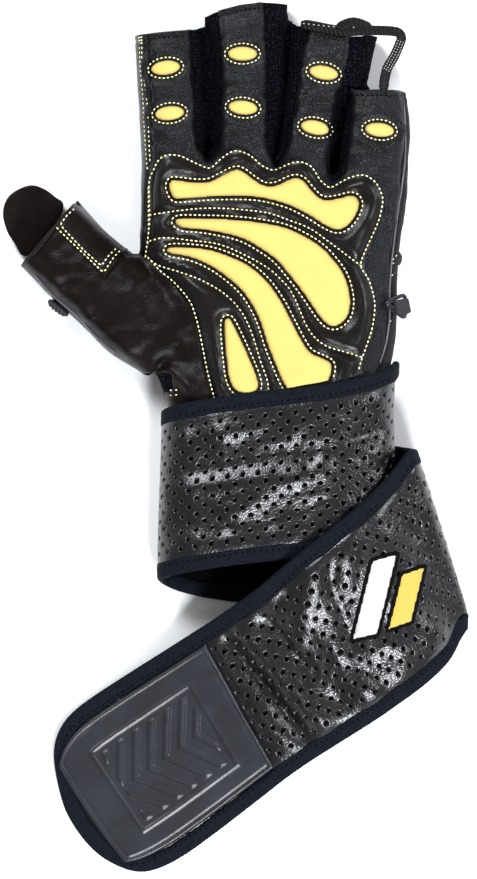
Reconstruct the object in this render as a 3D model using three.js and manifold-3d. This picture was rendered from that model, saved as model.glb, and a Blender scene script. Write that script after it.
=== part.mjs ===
// Half-finger weightlifting glove, left hand, palm up, with a long wrist wrap lying out to one side.
// Millimetres. X runs across the palm, Y towards the fingertips, Z up out of the palm.
import * as THREE from 'three';
import { mergeVertices } from 'three/addons/utils/BufferGeometryUtils.js';
import Module from 'manifold-3d';

const wasm = await Module();
wasm.setup();

// Driving sizes of the hand
const PALM_WIDTH = 108;
const PALM_LENGTH = 98;
const PALM_DEPTH = 28;
const WRIST_SLEEVE = 24;
const WALL = 2;
const FIT = 0.4;
const GAP = 0.3;
const BACK_SEAM_HEIGHT = 8;

// Fingers and thumb
const INDEX_LENGTH = 54;
const INDEX_WIDTH = 27.8;
const MIDDLE_LENGTH = 63;
const MIDDLE_WIDTH = 33;
const RING_LENGTH = 56;
const RING_WIDTH = 34.5;
const LITTLE_LENGTH = 38;
const LITTLE_WIDTH = 30;
const FINGER_DEPTH = 25;
const THUMB_LENGTH = 66;
const THUMB_WIDTH = 34.5;
const THUMB_DEPTH = 24;
const THUMB_TURN = 52;

// Sewn-on pieces
const OVERLAY_THICKNESS = 1.2;
const PAD_HEIGHT = 3.4;
const PAD_SHOULDER = 1.3;
const OVAL_LENGTH = 11.8;
const OVAL_WIDTH = 5.6;
const OVAL_HEIGHT = 2.2;
const PATCH_THICKNESS = 1.1;
const TAB_LENGTH = 23;
const TAB_WIDTH = 25;
const TAB_THICKNESS = 1.6;
const BUMP_LENGTH = 8;
const BUMP_HEIGHT = 5;
const BUMP_REACH = 2.4;
const LACE_WIDTH = 4;
const LACE_THICKNESS = 1.2;
const TRIANGLE_LENGTH = 11.5;
const TRIANGLE_WIDTH = 13;
const RING_WIRE = 1.7;
const WEBBING_WIDTH = 4.6;
const WEBBING_THICKNESS = 1.2;
const SIDE_LOOP_LENGTH = 5;
const SIDE_LOOP_HEIGHT = 4;
const SIDE_LOOP_REACH = 1.8;

// Wrist wrap
const WRAP_WIDTH = 72;
const CUFF_WIDTH = 68;
const CUFF_RISE = 19.6;
const CUFF_DROP = 16;
const CUFF_SWEEP = 1.3;
const BAND_THICKNESS = 2.2;
const BINDING_THICKNESS = 3;
const BINDING_WIDTH = 6.4;
const TAIL_LENGTH = 197;
const TAIL_TURN = 36;
const FOLD_STAND_OFF = 11;
const FOLD_SLANT = 24.2;
const END_PATCH_LENGTH = 82;
const END_PATCH_THICKNESS = 1.4;

const WRAP_OFFSET = BINDING_THICKNESS / 2 + FIT;
const WRIST_LIFT = BINDING_THICKNESS + FIT;
const FLOOR_LINE = BINDING_THICKNESS / 2;
const LAYER_STEP = BINDING_THICKNESS + FIT;
const RADIANS = Math.PI / 180;
const PALM_SIDES = 24;
const FINGER_SIDES = 16;
const TALL = 90;

// Palm sections from the forearm end to the crotches. v is a share of PALM_LENGTH, left and right
// of PALM_WIDTH, deep of PALM_DEPTH, lift of WRIST_LIFT. drop lowers the right end of a section.
const PALM_ROWS = [
  { v: -0.85, left: 0.1, right: 0.945, deep: 0.84, lift: 1, drop: 0 },
  { v: -0.55, left: 0.1, right: 0.945, deep: 0.86, lift: 1, drop: 0 },
  { v: -0.25, left: 0.11, right: 0.935, deep: 0.9, lift: 1, drop: 0 },
  { v: 0, left: 0.115, right: 0.925, deep: 0.93, lift: 1, drop: 0 },
  { v: 0.08, left: 0.095, right: 0.928, deep: 0.945, lift: 1, drop: 0 },
  { v: 0.15, left: 0.07, right: 0.935, deep: 0.96, lift: 0.6, drop: 0 },
  { v: 0.3, left: 0.06, right: 0.96, deep: 1, lift: 0, drop: 0 },
  { v: 0.45, left: 0.045, right: 0.963, deep: 1, lift: 0, drop: 0 },
  { v: 0.63, left: 0.01, right: 0.97, deep: 0.98, lift: 0, drop: 0 },
  { v: 0.8, left: 0.012, right: 0.985, deep: 0.96, lift: 0, drop: 0.03 },
  { v: 0.96, left: 0.014, right: 0.997, deep: 0.92, lift: 0, drop: 0.07 },
  { v: 1.04, left: 0.04, right: 0.975, deep: 0.8, lift: 0, drop: 0.11 },
];

// Hollows of the palm's top. u and v are shares of the palm, reach and depth of PALM_DEPTH.
const PALM_HOLLOWS = [
  { u: 0.47, v: 0.5, reach: 0.9, depth: 0.07 },
  { u: 0.3, v: 0.22, reach: 0.55, depth: 0.05 },
  { u: 0.55, v: 0.76, reach: 0.5, depth: 0.04 },
];

// Finger rows. along is a share of the length, left and right of the width on each side of the
// axis, seamLeft and seamRight the leather's edges, deep a share of FINGER_DEPTH.
const FINGERS = {
  index: {
    root: { u: 0.138, v: 1 },
    lean: -2.4,
    length: INDEX_LENGTH,
    width: INDEX_WIDTH,
    rows: [
      { along: -0.35, left: 0.47, right: 0.46, seamLeft: 0.38, seamRight: 0.5, deep: 0.96 },
      { along: 0, left: 0.48, right: 0.48, seamLeft: 0.34, seamRight: 0.46, deep: 0.98 },
      { along: 0.16, left: 0.48, right: 0.48, seamLeft: 0.31, seamRight: 0.32, deep: 0.96 },
      { along: 0.6, left: 0.49, right: 0.485, seamLeft: 0.3, seamRight: 0.33, deep: 0.92 },
      { along: 1, left: 0.5, right: 0.49, seamLeft: 0.3, seamRight: 0.31, deep: 0.88 },
    ],
  },
  middle: {
    root: { u: 0.391, v: 1 },
    lean: 1.4,
    length: MIDDLE_LENGTH,
    width: MIDDLE_WIDTH,
    rows: [
      { along: -0.32, left: 0.44, right: 0.44, seamLeft: 0.42, seamRight: 0.42, deep: 0.98 },
      { along: 0, left: 0.4, right: 0.4, seamLeft: 0.38, seamRight: 0.37, deep: 1 },
      { along: 0.15, left: 0.41, right: 0.41, seamLeft: 0.28, seamRight: 0.27, deep: 0.98 },
      { along: 0.5, left: 0.45, right: 0.44, seamLeft: 0.285, seamRight: 0.275, deep: 0.94 },
      { along: 0.85, left: 0.485, right: 0.49, seamLeft: 0.32, seamRight: 0.23, deep: 0.9 },
      { along: 1, left: 0.5, right: 0.5, seamLeft: 0.38, seamRight: 0.2, deep: 0.88 },
    ],
  },
  ring: {
    root: { u: 0.621, v: 0.98 },
    lean: 12.2,
    length: RING_LENGTH,
    width: RING_WIDTH,
    rows: [
      { along: -0.32, left: 0.37, right: 0.36, seamLeft: 0.3, seamRight: 0.33, deep: 0.98 },
      { along: 0, left: 0.31, right: 0.3, seamLeft: 0.27, seamRight: 0.28, deep: 1 },
      { along: 0.25, left: 0.35, right: 0.275, seamLeft: 0.26, seamRight: 0.215, deep: 0.98 },
      { along: 0.55, left: 0.41, right: 0.255, seamLeft: 0.285, seamRight: 0.195, deep: 0.94 },
      { along: 0.72, left: 0.44, right: 0.38, seamLeft: 0.3, seamRight: 0.2, deep: 0.92 },
      { along: 0.86, left: 0.465, right: 0.47, seamLeft: 0.32, seamRight: 0.21, deep: 0.9 },
      { along: 1, left: 0.5, right: 0.5, seamLeft: 0.3, seamRight: 0.17, deep: 0.88 },
    ],
  },
  little: {
    root: { u: 0.865, v: 0.92 },
    lean: 4,
    length: LITTLE_LENGTH,
    width: LITTLE_WIDTH,
    rows: [
      { along: -0.4, left: 0.48, right: 0.48, seamLeft: 0.47, seamRight: 0.41, deep: 0.92 },
      { along: 0, left: 0.49, right: 0.5, seamLeft: 0.44, seamRight: 0.42, deep: 0.94 },
      { along: 0.3, left: 0.47, right: 0.485, seamLeft: 0.36, seamRight: 0.43, deep: 0.92 },
      { along: 0.6, left: 0.425, right: 0.48, seamLeft: 0.345, seamRight: 0.42, deep: 0.9 },
      { along: 1, left: 0.39, right: 0.4, seamLeft: 0.34, seamRight: 0.35, deep: 0.84 },
    ],
  },
};

// The lowest point of each knit strip, as shares of the palm.
const CROTCHES = {
  index_middle: { u: 0.266, v: 1.02 },
  middle_ring: { u: 0.518, v: 0.995 },
  ring_little: { u: 0.724, v: 0.927 },
};

// Thumb rows from the mouth to the palm. along is a share of THUMB_LENGTH, upper and lower of
// THUMB_WIDTH on each side of the axis, deep of THUMB_DEPTH.
const THUMB_MOUTH = { u: -0.327, v: 0.71 };
const THUMB_ROWS = [
  { along: 0, upper: 0.49, lower: 0.48, deep: 0.9 },
  { along: 0.17, upper: 0.46, lower: 0.53, deep: 0.96 },
  { along: 0.35, upper: 0.44, lower: 0.565, deep: 1 },
  { along: 0.52, upper: 0.45, lower: 0.59, deep: 1.04 },
  { along: 0.72, upper: 0.45, lower: 0.635, deep: 1.04 },
  { along: 1, upper: 0.36, lower: 0.58, deep: 1 },
];

// Seams and outlines in shares of the palm.
const THUMB_SEAM = [
  { u: 0, v: 0.64 },
  { u: 0.04, v: 0.62 },
  { u: 0.12, v: 0.535 },
  { u: 0.195, v: 0.44 },
  { u: 0.229, v: 0.33 },
  { u: 0.25, v: 0.2 },
  { u: 0.29, v: 0.04 },
  { u: 0.31, v: -0.12 },
  { u: 0.31, v: -0.3 },
];
const INDEX_SEAM = [
  { u: 0.035, v: 0.9 },
  { u: 0.035, v: 0.79 },
  { u: 0.03, v: 0.68 },
  { u: 0.02, v: 0.64 },
];
const OUTER_SEAM = [
  { u: 0.981, v: 0.88 },
  { u: 0.96, v: 0.74 },
  { u: 0.943, v: 0.59 },
  { u: 0.937, v: 0.4 },
  { u: 0.922, v: 0.26 },
  { u: 0.9, v: 0.16 },
  { u: 0.88, v: 0 },
  { u: 0.88, v: -0.3 },
];
const OVERLAY_OUTLINE = [
  { u: 0.06, v: 0.635 },
  { u: 0.06, v: 0.8 },
  { u: 0.065, v: 0.94 },
  { u: 0.11, v: 1.045 },
  { u: 0.265, v: 0.985 },
  { u: 0.37, v: 1.06 },
  { u: 0.5, v: 0.98 },
  { u: 0.6, v: 1.01 },
  { u: 0.72, v: 0.905 },
  { u: 0.84, v: 0.96 },
  { u: 0.91, v: 0.87 },
  { u: 0.88, v: 0.71 },
  { u: 0.84, v: 0.6 },
  { u: 0.875, v: 0.47 },
  { u: 0.87, v: 0.31 },
  { u: 0.83, v: 0.19 },
  { u: 0.82, v: 0.08 },
  { u: 0.6, v: -0.02 },
  { u: 0.34, v: -0.02 },
  { u: 0.295, v: 0.1 },
  { u: 0.265, v: 0.3 },
  { u: 0.22, v: 0.44 },
  { u: 0.13, v: 0.56 },
];
const PAD_KNUCKLE = [
  { u: 0.115, v: 0.9 },
  { u: 0.135, v: 0.935 },
  { u: 0.25, v: 0.925 },
  { u: 0.37, v: 0.978 },
  { u: 0.485, v: 0.912 },
  { u: 0.59, v: 0.945 },
  { u: 0.685, v: 0.857 },
  { u: 0.785, v: 0.873 },
  { u: 0.823, v: 0.837 },
  { u: 0.785, v: 0.76 },
  { u: 0.73, v: 0.737 },
  { u: 0.62, v: 0.8 },
  { u: 0.47, v: 0.86 },
  { u: 0.29, v: 0.872 },
  { u: 0.14, v: 0.86 },
];
const PAD_CRESCENT = [
  { u: 0.14, v: 0.763 },
  { u: 0.17, v: 0.78 },
  { u: 0.345, v: 0.775 },
  { u: 0.545, v: 0.743 },
  { u: 0.695, v: 0.645 },
  { u: 0.775, v: 0.52 },
  { u: 0.787, v: 0.43 },
  { u: 0.76, v: 0.355 },
  { u: 0.705, v: 0.347 },
  { u: 0.645, v: 0.43 },
  { u: 0.545, v: 0.58 },
  { u: 0.415, v: 0.685 },
  { u: 0.27, v: 0.73 },
  { u: 0.16, v: 0.745 },
];
const PAD_ARCH = [
  { u: 0.11, v: 0.65 },
  { u: 0.14, v: 0.664 },
  { u: 0.27, v: 0.65 },
  { u: 0.4, v: 0.597 },
  { u: 0.51, v: 0.48 },
  { u: 0.587, v: 0.322 },
  { u: 0.645, v: 0.23 },
  { u: 0.713, v: 0.19 },
  { u: 0.716, v: 0.147 },
  { u: 0.668, v: 0.11 },
  { u: 0.56, v: 0.086 },
  { u: 0.513, v: 0.18 },
  { u: 0.443, v: 0.388 },
  { u: 0.343, v: 0.53 },
  { u: 0.232, v: 0.61 },
  { u: 0.13, v: 0.637 },
];
const PAD_HEEL = [
  { u: 0.33, v: 0.371 },
  { u: 0.32, v: 0.318 },
  { u: 0.328, v: 0.196 },
  { u: 0.35, v: 0.098 },
  { u: 0.4, v: 0.063 },
  { u: 0.446, v: 0.094 },
  { u: 0.424, v: 0.188 },
  { u: 0.373, v: 0.31 },
  { u: 0.348, v: 0.363 },
];

// Ovals. along is a share of the finger's length, aside of its width, turn in degrees.
const OVALS = [
  { finger: 'index', along: 0.72, aside: -0.06, turn: 4 },
  { finger: 'index', along: 0.38, aside: -0.035, turn: 3 },
  { finger: 'middle', along: 0.71, aside: -0.04, turn: -1 },
  { finger: 'middle', along: 0.36, aside: -0.015, turn: -5 },
  { finger: 'ring', along: 0.69, aside: -0.02, turn: 2 },
  { finger: 'ring', along: 0.3, aside: 0.015, turn: 2 },
  { finger: 'little', along: 0.58, aside: 0.02, turn: -2 },
];

// Thumb patch outline. along is a share of THUMB_LENGTH, across of THUMB_WIDTH from the axis.
const THUMB_PATCH = [
  { along: 0.03, across: -0.09 },
  { along: 0.04, across: -0.36 },
  { along: 0.22, across: -0.36 },
  { along: 0.41, across: -0.33 },
  { along: 0.415, across: -0.18 },
  { along: 0.42, across: -0.02 },
  { along: 0.22, across: -0.06 },
];

// Pull tab. out is a share of TAB_LENGTH beyond the mouth, half of TAB_WIDTH, rise of THUMB_DEPTH.
const TAB_ROWS = [
  { out: -0.35, half: 0.38, rise: 0 },
  { out: 0, half: 0.4, rise: 0 },
  { out: 0.15, half: 0.49, rise: 0.01 },
  { out: 0.45, half: 0.5, rise: 0.03 },
  { out: 0.7, half: 0.43, rise: 0.06 },
  { out: 0.88, half: 0.31, rise: 0.09 },
  { out: 1, half: 0.13, rise: 0.11 },
];

// The lace's loop. u and v are shares of the palm, rise of FINGER_DEPTH above the floor.
const LACE_ROUTE = [
  { u: 0.615, v: 1.535, rise: 0.8 },
  { u: 0.7, v: 1.555, rise: 0.8 },
  { u: 0.795, v: 1.575, rise: 0.95 },
  { u: 0.89, v: 1.57, rise: 0.94 },
  { u: 0.96, v: 1.545, rise: 0.84 },
  { u: 0.972, v: 1.5, rise: 0.8 },
  { u: 0.93, v: 1.43, rise: 0.8 },
  { u: 0.9, v: 1.37, rise: 0.84 },
  { u: 0.895, v: 1.28, rise: 0.8 },
];

// Where the small fittings of the outer edge sit, as shares of PALM_LENGTH.
const SIDE_RING_V = 0.425;
const SIDE_LOOP_V = 0.61;

// Fold rows of the wrap. Lengths along X are shares of FOLD_STAND_OFF left of the fold's edge,
// heights are shares of the wrist's depth at the upper edge and of LAYER_STEP at the lower.
const FOLD_ROWS = [
  { upperBack: 3.5, upperRise: 0, lowerBack: 4, lowerRise: 0 },
  { upperBack: 2.3, upperRise: 0, lowerBack: 2.3, lowerRise: 0 },
  { upperBack: 1.15, upperRise: 0.04, lowerBack: 1, lowerRise: 0 },
  { upperBack: 0.35, upperRise: 0.22, lowerBack: 0.2, lowerRise: 0.25 },
  { upperBack: 0, upperRise: 0.55, lowerBack: 0, lowerRise: 0.6 },
  { upperBack: 0.27, upperRise: 0.85, lowerBack: 0.27, lowerRise: 1 },
];

// Tail rows. Along is a share of TAIL_LENGTH from the fold's upper end, across of WRAP_WIDTH.
const TAIL_ROWS = [
  { upperAlong: 0.07, upperAcross: 0.02, lowerAlong: 0.19, lowerAcross: 1.055 },
  { upperAlong: 0.14, upperAcross: 0.05, lowerAlong: 0.25, lowerAcross: 1.08 },
  { upperAlong: 0.22, upperAcross: 0.065, lowerAlong: 0.31, lowerAcross: 1.085 },
  { upperAlong: 0.33, upperAcross: 0.08, lowerAlong: 0.4, lowerAcross: 1.08 },
  { upperAlong: 0.43, upperAcross: 0.1, lowerAlong: 0.49, lowerAcross: 1.065 },
  { upperAlong: 0.53, upperAcross: 0.1, lowerAlong: 0.58, lowerAcross: 1.055 },
  { upperAlong: 0.64, upperAcross: 0.085, lowerAlong: 0.675, lowerAcross: 1.065 },
  { upperAlong: 0.76, upperAcross: 0.065, lowerAlong: 0.78, lowerAcross: 1.075 },
  { upperAlong: 0.86, upperAcross: 0.055, lowerAlong: 0.87, lowerAcross: 1.075 },
  { upperAlong: 0.915, upperAcross: 0.08, lowerAlong: 0.93, lowerAcross: 1.05 },
  { upperAlong: 0.965, upperAcross: 0.18, lowerAlong: 0.972, lowerAcross: 0.99 },
  { upperAlong: 1, upperAcross: 0.39, lowerAlong: 1, lowerAcross: 0.86 },
];

// Creases that stand up across the tail. along is a share of TAIL_LENGTH, slant of it across the
// width, spread of it along the tail, rise of BINDING_THICKNESS.
const TAIL_CREASES = [
  { along: 0.5, slant: 0.08, spread: 0.022, rise: 0.9 },
  { along: 0.6, slant: 0.1, spread: 0.02, rise: 0.7 },
  { along: 0.36, slant: -0.06, spread: 0.025, rise: 0.8 },
];

// Tables and curves
const palmX = (u) => u * PALM_WIDTH;
const palmY = (v) => v * PALM_LENGTH;

function cubic(a, b, c, d, t) {
  const linear = c - a;
  const square = 2 * a - 5 * b + 4 * c - d;
  const cube = 3 * b - a - 3 * c + d;
  return b + 0.5 * t * (linear + t * (square + t * cube));
}

// The row of a table at a place, with every column run smoothly through the rows.
function rowAt(rows, key, place) {
  const last = rows.length - 1;
  let i = 0;
  while (i < last - 1 && rows[i + 1][key] < place) {
    i += 1;
  }
  const span = rows[i + 1][key] - rows[i][key];
  const t = THREE.MathUtils.clamp((place - rows[i][key]) / span, 0, 1);
  const row = {};
  for (const name of Object.keys(rows[0])) {
    const before = rows[Math.max(i - 1, 0)][name];
    const after = rows[Math.min(i + 2, last)][name];
    row[name] = cubic(before, rows[i][name], rows[i + 1][name], after, t);
  }
  row[key] = place;
  return row;
}

function splineThrough(points, count, closed) {
  const curve = new THREE.CatmullRomCurve3(points, closed, 'centripetal');
  const found = curve.getPoints(count);
  if (closed) {
    found.pop();
  }
  return found;
}

const palmPoint = (share) => new THREE.Vector3(palmX(share.u), palmY(share.v), 0);

// A ring of points round a hand-like section: flat below, arched above.
const ARCH_POWER = 2.5;
const FLAT_POWER = 4;
const WAIST_SHARE = 0.44;
const FLAT_REACH = 1.06;

function sectionPoint(section, angle) {
  const cos = Math.cos(angle);
  const sin = Math.sin(angle);
  const power = 2 / (sin >= 0 ? ARCH_POWER : FLAT_POWER);
  const across = Math.sign(cos) * Math.abs(cos) ** power;
  const up = sin >= 0 ? sin ** power : Math.min(FLAT_REACH * Math.abs(sin) ** power, 1);
  const centre = (section.left + section.right) / 2;
  const half = (section.right - section.left) / 2;
  const waist = section.low + WAIST_SHARE * (section.high - section.low);
  const rise = sin >= 0 ? section.high - waist : section.low - waist;
  return { across: centre + half * across, up: waist + rise * up, share: (across + 1) / 2 };
}

const grown = (section, by) => ({
  left: section.left - by,
  right: section.right + by,
  low: section.low - by,
  high: section.high + by,
});

function palmSection(v) {
  const row = rowAt(PALM_ROWS, 'v', v);
  const low = Math.max(row.lift, 0) * WRIST_LIFT;
  return {
    left: palmX(row.left),
    right: palmX(row.right),
    low,
    high: low + row.deep * PALM_DEPTH,
    drop: Math.max(row.drop, 0) * PALM_LENGTH,
  };
}

function hollowAt(x, y) {
  let depth = 0;
  for (const dent of PALM_HOLLOWS) {
    const away = Math.hypot(x - palmX(dent.u), y - palmY(dent.v)) / (dent.reach * PALM_DEPTH);
    depth += dent.depth * PALM_DEPTH * Math.exp(-away * away);
  }
  return depth;
}

// Faces between neighbouring rings of points.
function sideFaces(rings) {
  const sides = rings[0].length;
  const faces = [];
  for (let i = 0; i < rings.length - 1; i += 1) {
    for (let j = 0; j < sides; j += 1) {
      const a = i * sides + j;
      const b = i * sides + ((j + 1) % sides);
      faces.push(a, b, b + sides, a, b + sides, a + sides);
    }
  }
  return faces;
}

function indexed(positions, faces) {
  const geometry = new THREE.BufferGeometry();
  geometry.setAttribute('position', new THREE.Float32BufferAttribute(positions, 3));
  geometry.setIndex(faces);
  return geometry;
}

// A closed body through rings of points, with a fan at each end.
function loft(rings) {
  const sides = rings[0].length;
  const positions = rings.flat().flatMap((point) => [point.x, point.y, point.z]);
  const faces = sideFaces(rings);
  const closeEnd = (ring, start, turned) => {
    const middle = new THREE.Vector3();
    ring.forEach((point) => middle.addScaledVector(point, 1 / sides));
    const hub = positions.length / 3;
    positions.push(middle.x, middle.y, middle.z);
    for (let j = 0; j < sides; j += 1) {
      const a = start + j;
      const b = start + ((j + 1) % sides);
      faces.push(...(turned ? [b, a, hub] : [a, b, hub]));
    }
  };
  closeEnd(rings[0], 0, true);
  closeEnd(rings.at(-1), (rings.length - 1) * sides, false);
  return indexed(positions, faces);
}

// Solids for cutting and joining
function solidOf(geometry) {
  const bare = geometry.clone();
  bare.deleteAttribute('normal');
  bare.deleteAttribute('uv');
  const merged = mergeVertices(bare, 1e-4);
  const turned = signedVolume(merged) < 0;
  const index = Array.from(merged.index.array);
  if (turned) {
    index.reverse();
  }
  return new wasm.Manifold(new wasm.Mesh({
    numProp: 3,
    vertProperties: new Float32Array(merged.attributes.position.array),
    triVerts: new Uint32Array(index),
  }));
}

function signedVolume(geometry) {
  const place = geometry.attributes.position;
  const corner = [new THREE.Vector3(), new THREE.Vector3(), new THREE.Vector3()];
  let total = 0;
  for (let i = 0; i < geometry.index.count; i += 3) {
    corner.forEach((point, j) => point.fromBufferAttribute(place, geometry.index.getX(i + j)));
    total += corner[0].dot(corner[1].clone().cross(corner[2]));
  }
  return total;
}

function geometryOf(solid) {
  const mesh = solid.getMesh();
  const geometry = new THREE.BufferGeometry();
  geometry.setAttribute('position', new THREE.BufferAttribute(new Float32Array(mesh.vertProperties), 3));
  geometry.setIndex(Array.from(mesh.triVerts));
  return geometry;
}

function shifted(geometry, x, y, z) {
  return geometry.clone().translate(x, y, z);
}

// An upright prism over a plan outline.
function prism(outline, low = -TALL, high = TALL) {
  const shape = new THREE.Shape(outline.map((point) => new THREE.Vector2(point.x, point.y)));
  const block = new THREE.ExtrudeGeometry(shape, { depth: high - low, bevelEnabled: false, steps: 1 });
  return solidOf(block.translate(0, 0, low));
}

const NARROWING_SIDES = 8;

// An outline's prism drawn in on every side.
function narrowed(outline, by) {
  let left = prism(outline);
  for (let i = 0; i < NARROWING_SIDES; i += 1) {
    const angle = (i / NARROWING_SIDES) * 2 * Math.PI;
    const step = new THREE.Vector3(by * Math.cos(angle), by * Math.sin(angle), 0);
    left = left.intersect(prism(outline.map((point) => point.clone().add(step))));
  }
  return left;
}

// Rings of the hand's volume. inset 0 gives the outside, WALL the hollow.
function palmRings(inset) {
  const top = PALM_ROWS.at(-1).v - inset / PALM_LENGTH;
  const bottom = -(WRIST_SLEEVE + (inset ? 2 * WALL : 0)) / PALM_LENGTH;
  const places = PALM_ROWS.map((row) => row.v).filter((v) => v > bottom + 0.02 && v < top - 0.01);
  return [bottom, ...places, top].map((v) => {
    const section = palmSection(v);
    const ring = grown(section, -inset);
    const points = [];
    for (let i = 0; i < PALM_SIDES; i += 1) {
      const found = sectionPoint(ring, (i / PALM_SIDES) * 2 * Math.PI);
      const y = palmY(v) - section.drop * found.share;
      const dent = i < PALM_SIDES / 2 ? hollowAt(found.across, y) : 0;
      points.push(new THREE.Vector3(found.across, y, found.up - dent));
    }
    return points;
  });
}

function fingerFrame(finger) {
  const lean = finger.lean * RADIANS;
  return {
    root: palmPoint(finger.root),
    ahead: new THREE.Vector3(Math.sin(lean), Math.cos(lean), 0),
    aside: new THREE.Vector3(Math.cos(lean), -Math.sin(lean), 0),
  };
}

function fingerPoint(finger, along, aside, z = 0) {
  const frame = fingerFrame(finger);
  return frame.root
    .addScaledVector(frame.ahead, along * finger.length)
    .addScaledVector(frame.aside, aside * finger.width)
    .setZ(z);
}

function fingerRings(finger, inset) {
  const rows = finger.rows;
  const mouth = inset ? 1 + (2 * WALL) / finger.length : 1;
  const places = [...rows.slice(0, -1).map((row) => row.along), mouth];
  return places.map((along) => {
    const row = rowAt(rows, 'along', Math.min(along, 1));
    const section = grown({
      left: -row.left * finger.width,
      right: row.right * finger.width,
      low: 0,
      high: row.deep * FINGER_DEPTH,
    }, -inset);
    const points = [];
    for (let i = 0; i < FINGER_SIDES; i += 1) {
      const found = sectionPoint(section, (i / FINGER_SIDES) * 2 * Math.PI);
      points.push(fingerPoint(finger, along, found.across / finger.width, found.up));
    }
    return points;
  });
}

// A place in the thumb's own plan: along from the mouth inwards, across towards the wrist.
function thumbPoint(along, across, z = 0) {
  const turn = THUMB_TURN * RADIANS;
  const inwards = new THREE.Vector3(Math.sin(turn), -Math.cos(turn), 0);
  const towards = new THREE.Vector3(-Math.cos(turn), -Math.sin(turn), 0);
  return palmPoint(THUMB_MOUTH)
    .addScaledVector(inwards, along)
    .addScaledVector(towards, across)
    .setZ(z);
}

function thumbRings(inset) {
  const places = THUMB_ROWS.map((row) => row.along);
  if (inset) {
    places[0] = (-2 * WALL) / THUMB_LENGTH;
  }
  return places.map((along) => {
    const row = rowAt(THUMB_ROWS, 'along', Math.max(along, 0));
    const section = grown({
      left: -row.upper * THUMB_WIDTH,
      right: row.lower * THUMB_WIDTH,
      low: 0,
      high: row.deep * THUMB_DEPTH,
    }, -inset);
    const points = [];
    for (let i = 0; i < FINGER_SIDES; i += 1) {
      const found = sectionPoint(section, (i / FINGER_SIDES) * 2 * Math.PI);
      points.push(thumbPoint(along * THUMB_LENGTH, found.across, found.up));
    }
    return points;
  });
}

function handVolume(inset) {
  let volume = solidOf(loft(palmRings(inset)));
  for (const finger of Object.values(FINGERS)) {
    volume = volume.add(solidOf(loft(fingerRings(finger, inset))));
  }
  return volume.add(solidOf(loft(thumbRings(inset))));
}

const outside = handVolume(0);
const shell = outside.subtract(handVolume(WALL));
const outsideGeometry = geometryOf(outside);
const raised = (by) => solidOf(shifted(outsideGeometry, 0, 0, by));

// Plan regions of the shell's pieces
const SEAM_PLACES = [0.12, 0.35, 0.6, 0.85, 1.1];

function seamLine(finger, side) {
  const sign = side === 'seamLeft' ? -1 : 1;
  return SEAM_PLACES.map((along) => {
    const share = sign * rowAt(finger.rows, 'along', Math.min(along, 1))[side];
    return fingerPoint(finger, along, share);
  });
}

function gussetRegion(before, after, crotch) {
  const down = seamLine(before, 'seamRight').reverse();
  const up = seamLine(after, 'seamLeft');
  return [...down, palmPoint(crotch), ...up];
}

function edgeRegion(seam, x) {
  const line = seam.map((point) => new THREE.Vector3(point.x, point.y, 0));
  return [...line, new THREE.Vector3(x, line.at(-1).y, 0), new THREE.Vector3(x, line[0].y, 0)];
}

const farLeft = palmX(-1);
const farRight = palmX(2);
const thumbSeam = THUMB_SEAM.map(palmPoint);
const indexSeam = [...seamLine(FINGERS.index, 'seamLeft').reverse(), ...INDEX_SEAM.map(palmPoint)];
const outerSeam = [...seamLine(FINGERS.little, 'seamRight').reverse(), ...OUTER_SEAM.map(palmPoint)];
const regions = {
  thumb: edgeRegion(thumbSeam, farLeft),
  index: edgeRegion(indexSeam, farLeft),
  outer: edgeRegion(outerSeam, farRight),
  index_middle: gussetRegion(FINGERS.index, FINGERS.middle, CROTCHES.index_middle),
  middle_ring: gussetRegion(FINGERS.middle, FINGERS.ring, CROTCHES.middle_ring),
  ring_little: gussetRegion(FINGERS.ring, FINGERS.little, CROTCHES.ring_little),
};

// The knit insert below the thumb, a small stretch of the wall.
const INSERT_REGION = [
  { u: 0, v: 0.15 },
  { u: 0.13, v: 0.15 },
  { u: 0.13, v: 0.07 },
  { u: 0, v: 0.07 },
].map(palmPoint);

const block = (low, high) => prism([
  new THREE.Vector3(farLeft, -TALL * 2, 0),
  new THREE.Vector3(farRight, -TALL * 2, 0),
  new THREE.Vector3(farRight, TALL * 3, 0),
  new THREE.Vector3(farLeft, TALL * 3, 0),
], low, high);

const front = shell.intersect(block(BACK_SEAM_HEIGHT + GAP / 2, TALL));
const inside = (region) => narrowed(region, GAP);
const around = (region) => prism(region);

// Largest part of a solid whose faces join edge to edge, so that a cut leaves no crumb behind.
function mainPart(solid) {
  const geometry = snapped(geometryOf(solid));
  const index = geometry.index.array;
  const owner = Array.from({ length: index.length / 3 }, (_, i) => i);
  const find = (face) => {
    let at = face;
    while (owner[at] !== at) {
      owner[at] = owner[owner[at]];
      at = owner[at];
    }
    return at;
  };
  const edges = new Map();
  for (let i = 0; i < index.length; i += 1) {
    const face = Math.floor(i / 3);
    const next = face * 3 + ((i + 1) % 3);
    const key = [index[i], index[next]].sort((one, two) => one - two).join();
    if (edges.has(key)) {
      owner[find(face)] = find(edges.get(key));
    } else {
      edges.set(key, face);
    }
  }
  const groups = new Map();
  for (let face = 0; face < owner.length; face += 1) {
    const corners = index.slice(face * 3, face * 3 + 3);
    groups.set(find(face), [...(groups.get(find(face)) ?? []), ...corners]);
  }
  const bodies = [...groups.values()].map((faces) => {
    const body = geometry.clone();
    body.setIndex(faces);
    return compact(body);
  });
  return bodies.sort((one, two) => signedVolume(two) - signedVolume(one))[0];
}

// Puts every corner on a fine lattice, and drops faces that it flattens or that lie back to back.
const LATTICE = 0.01;

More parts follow.
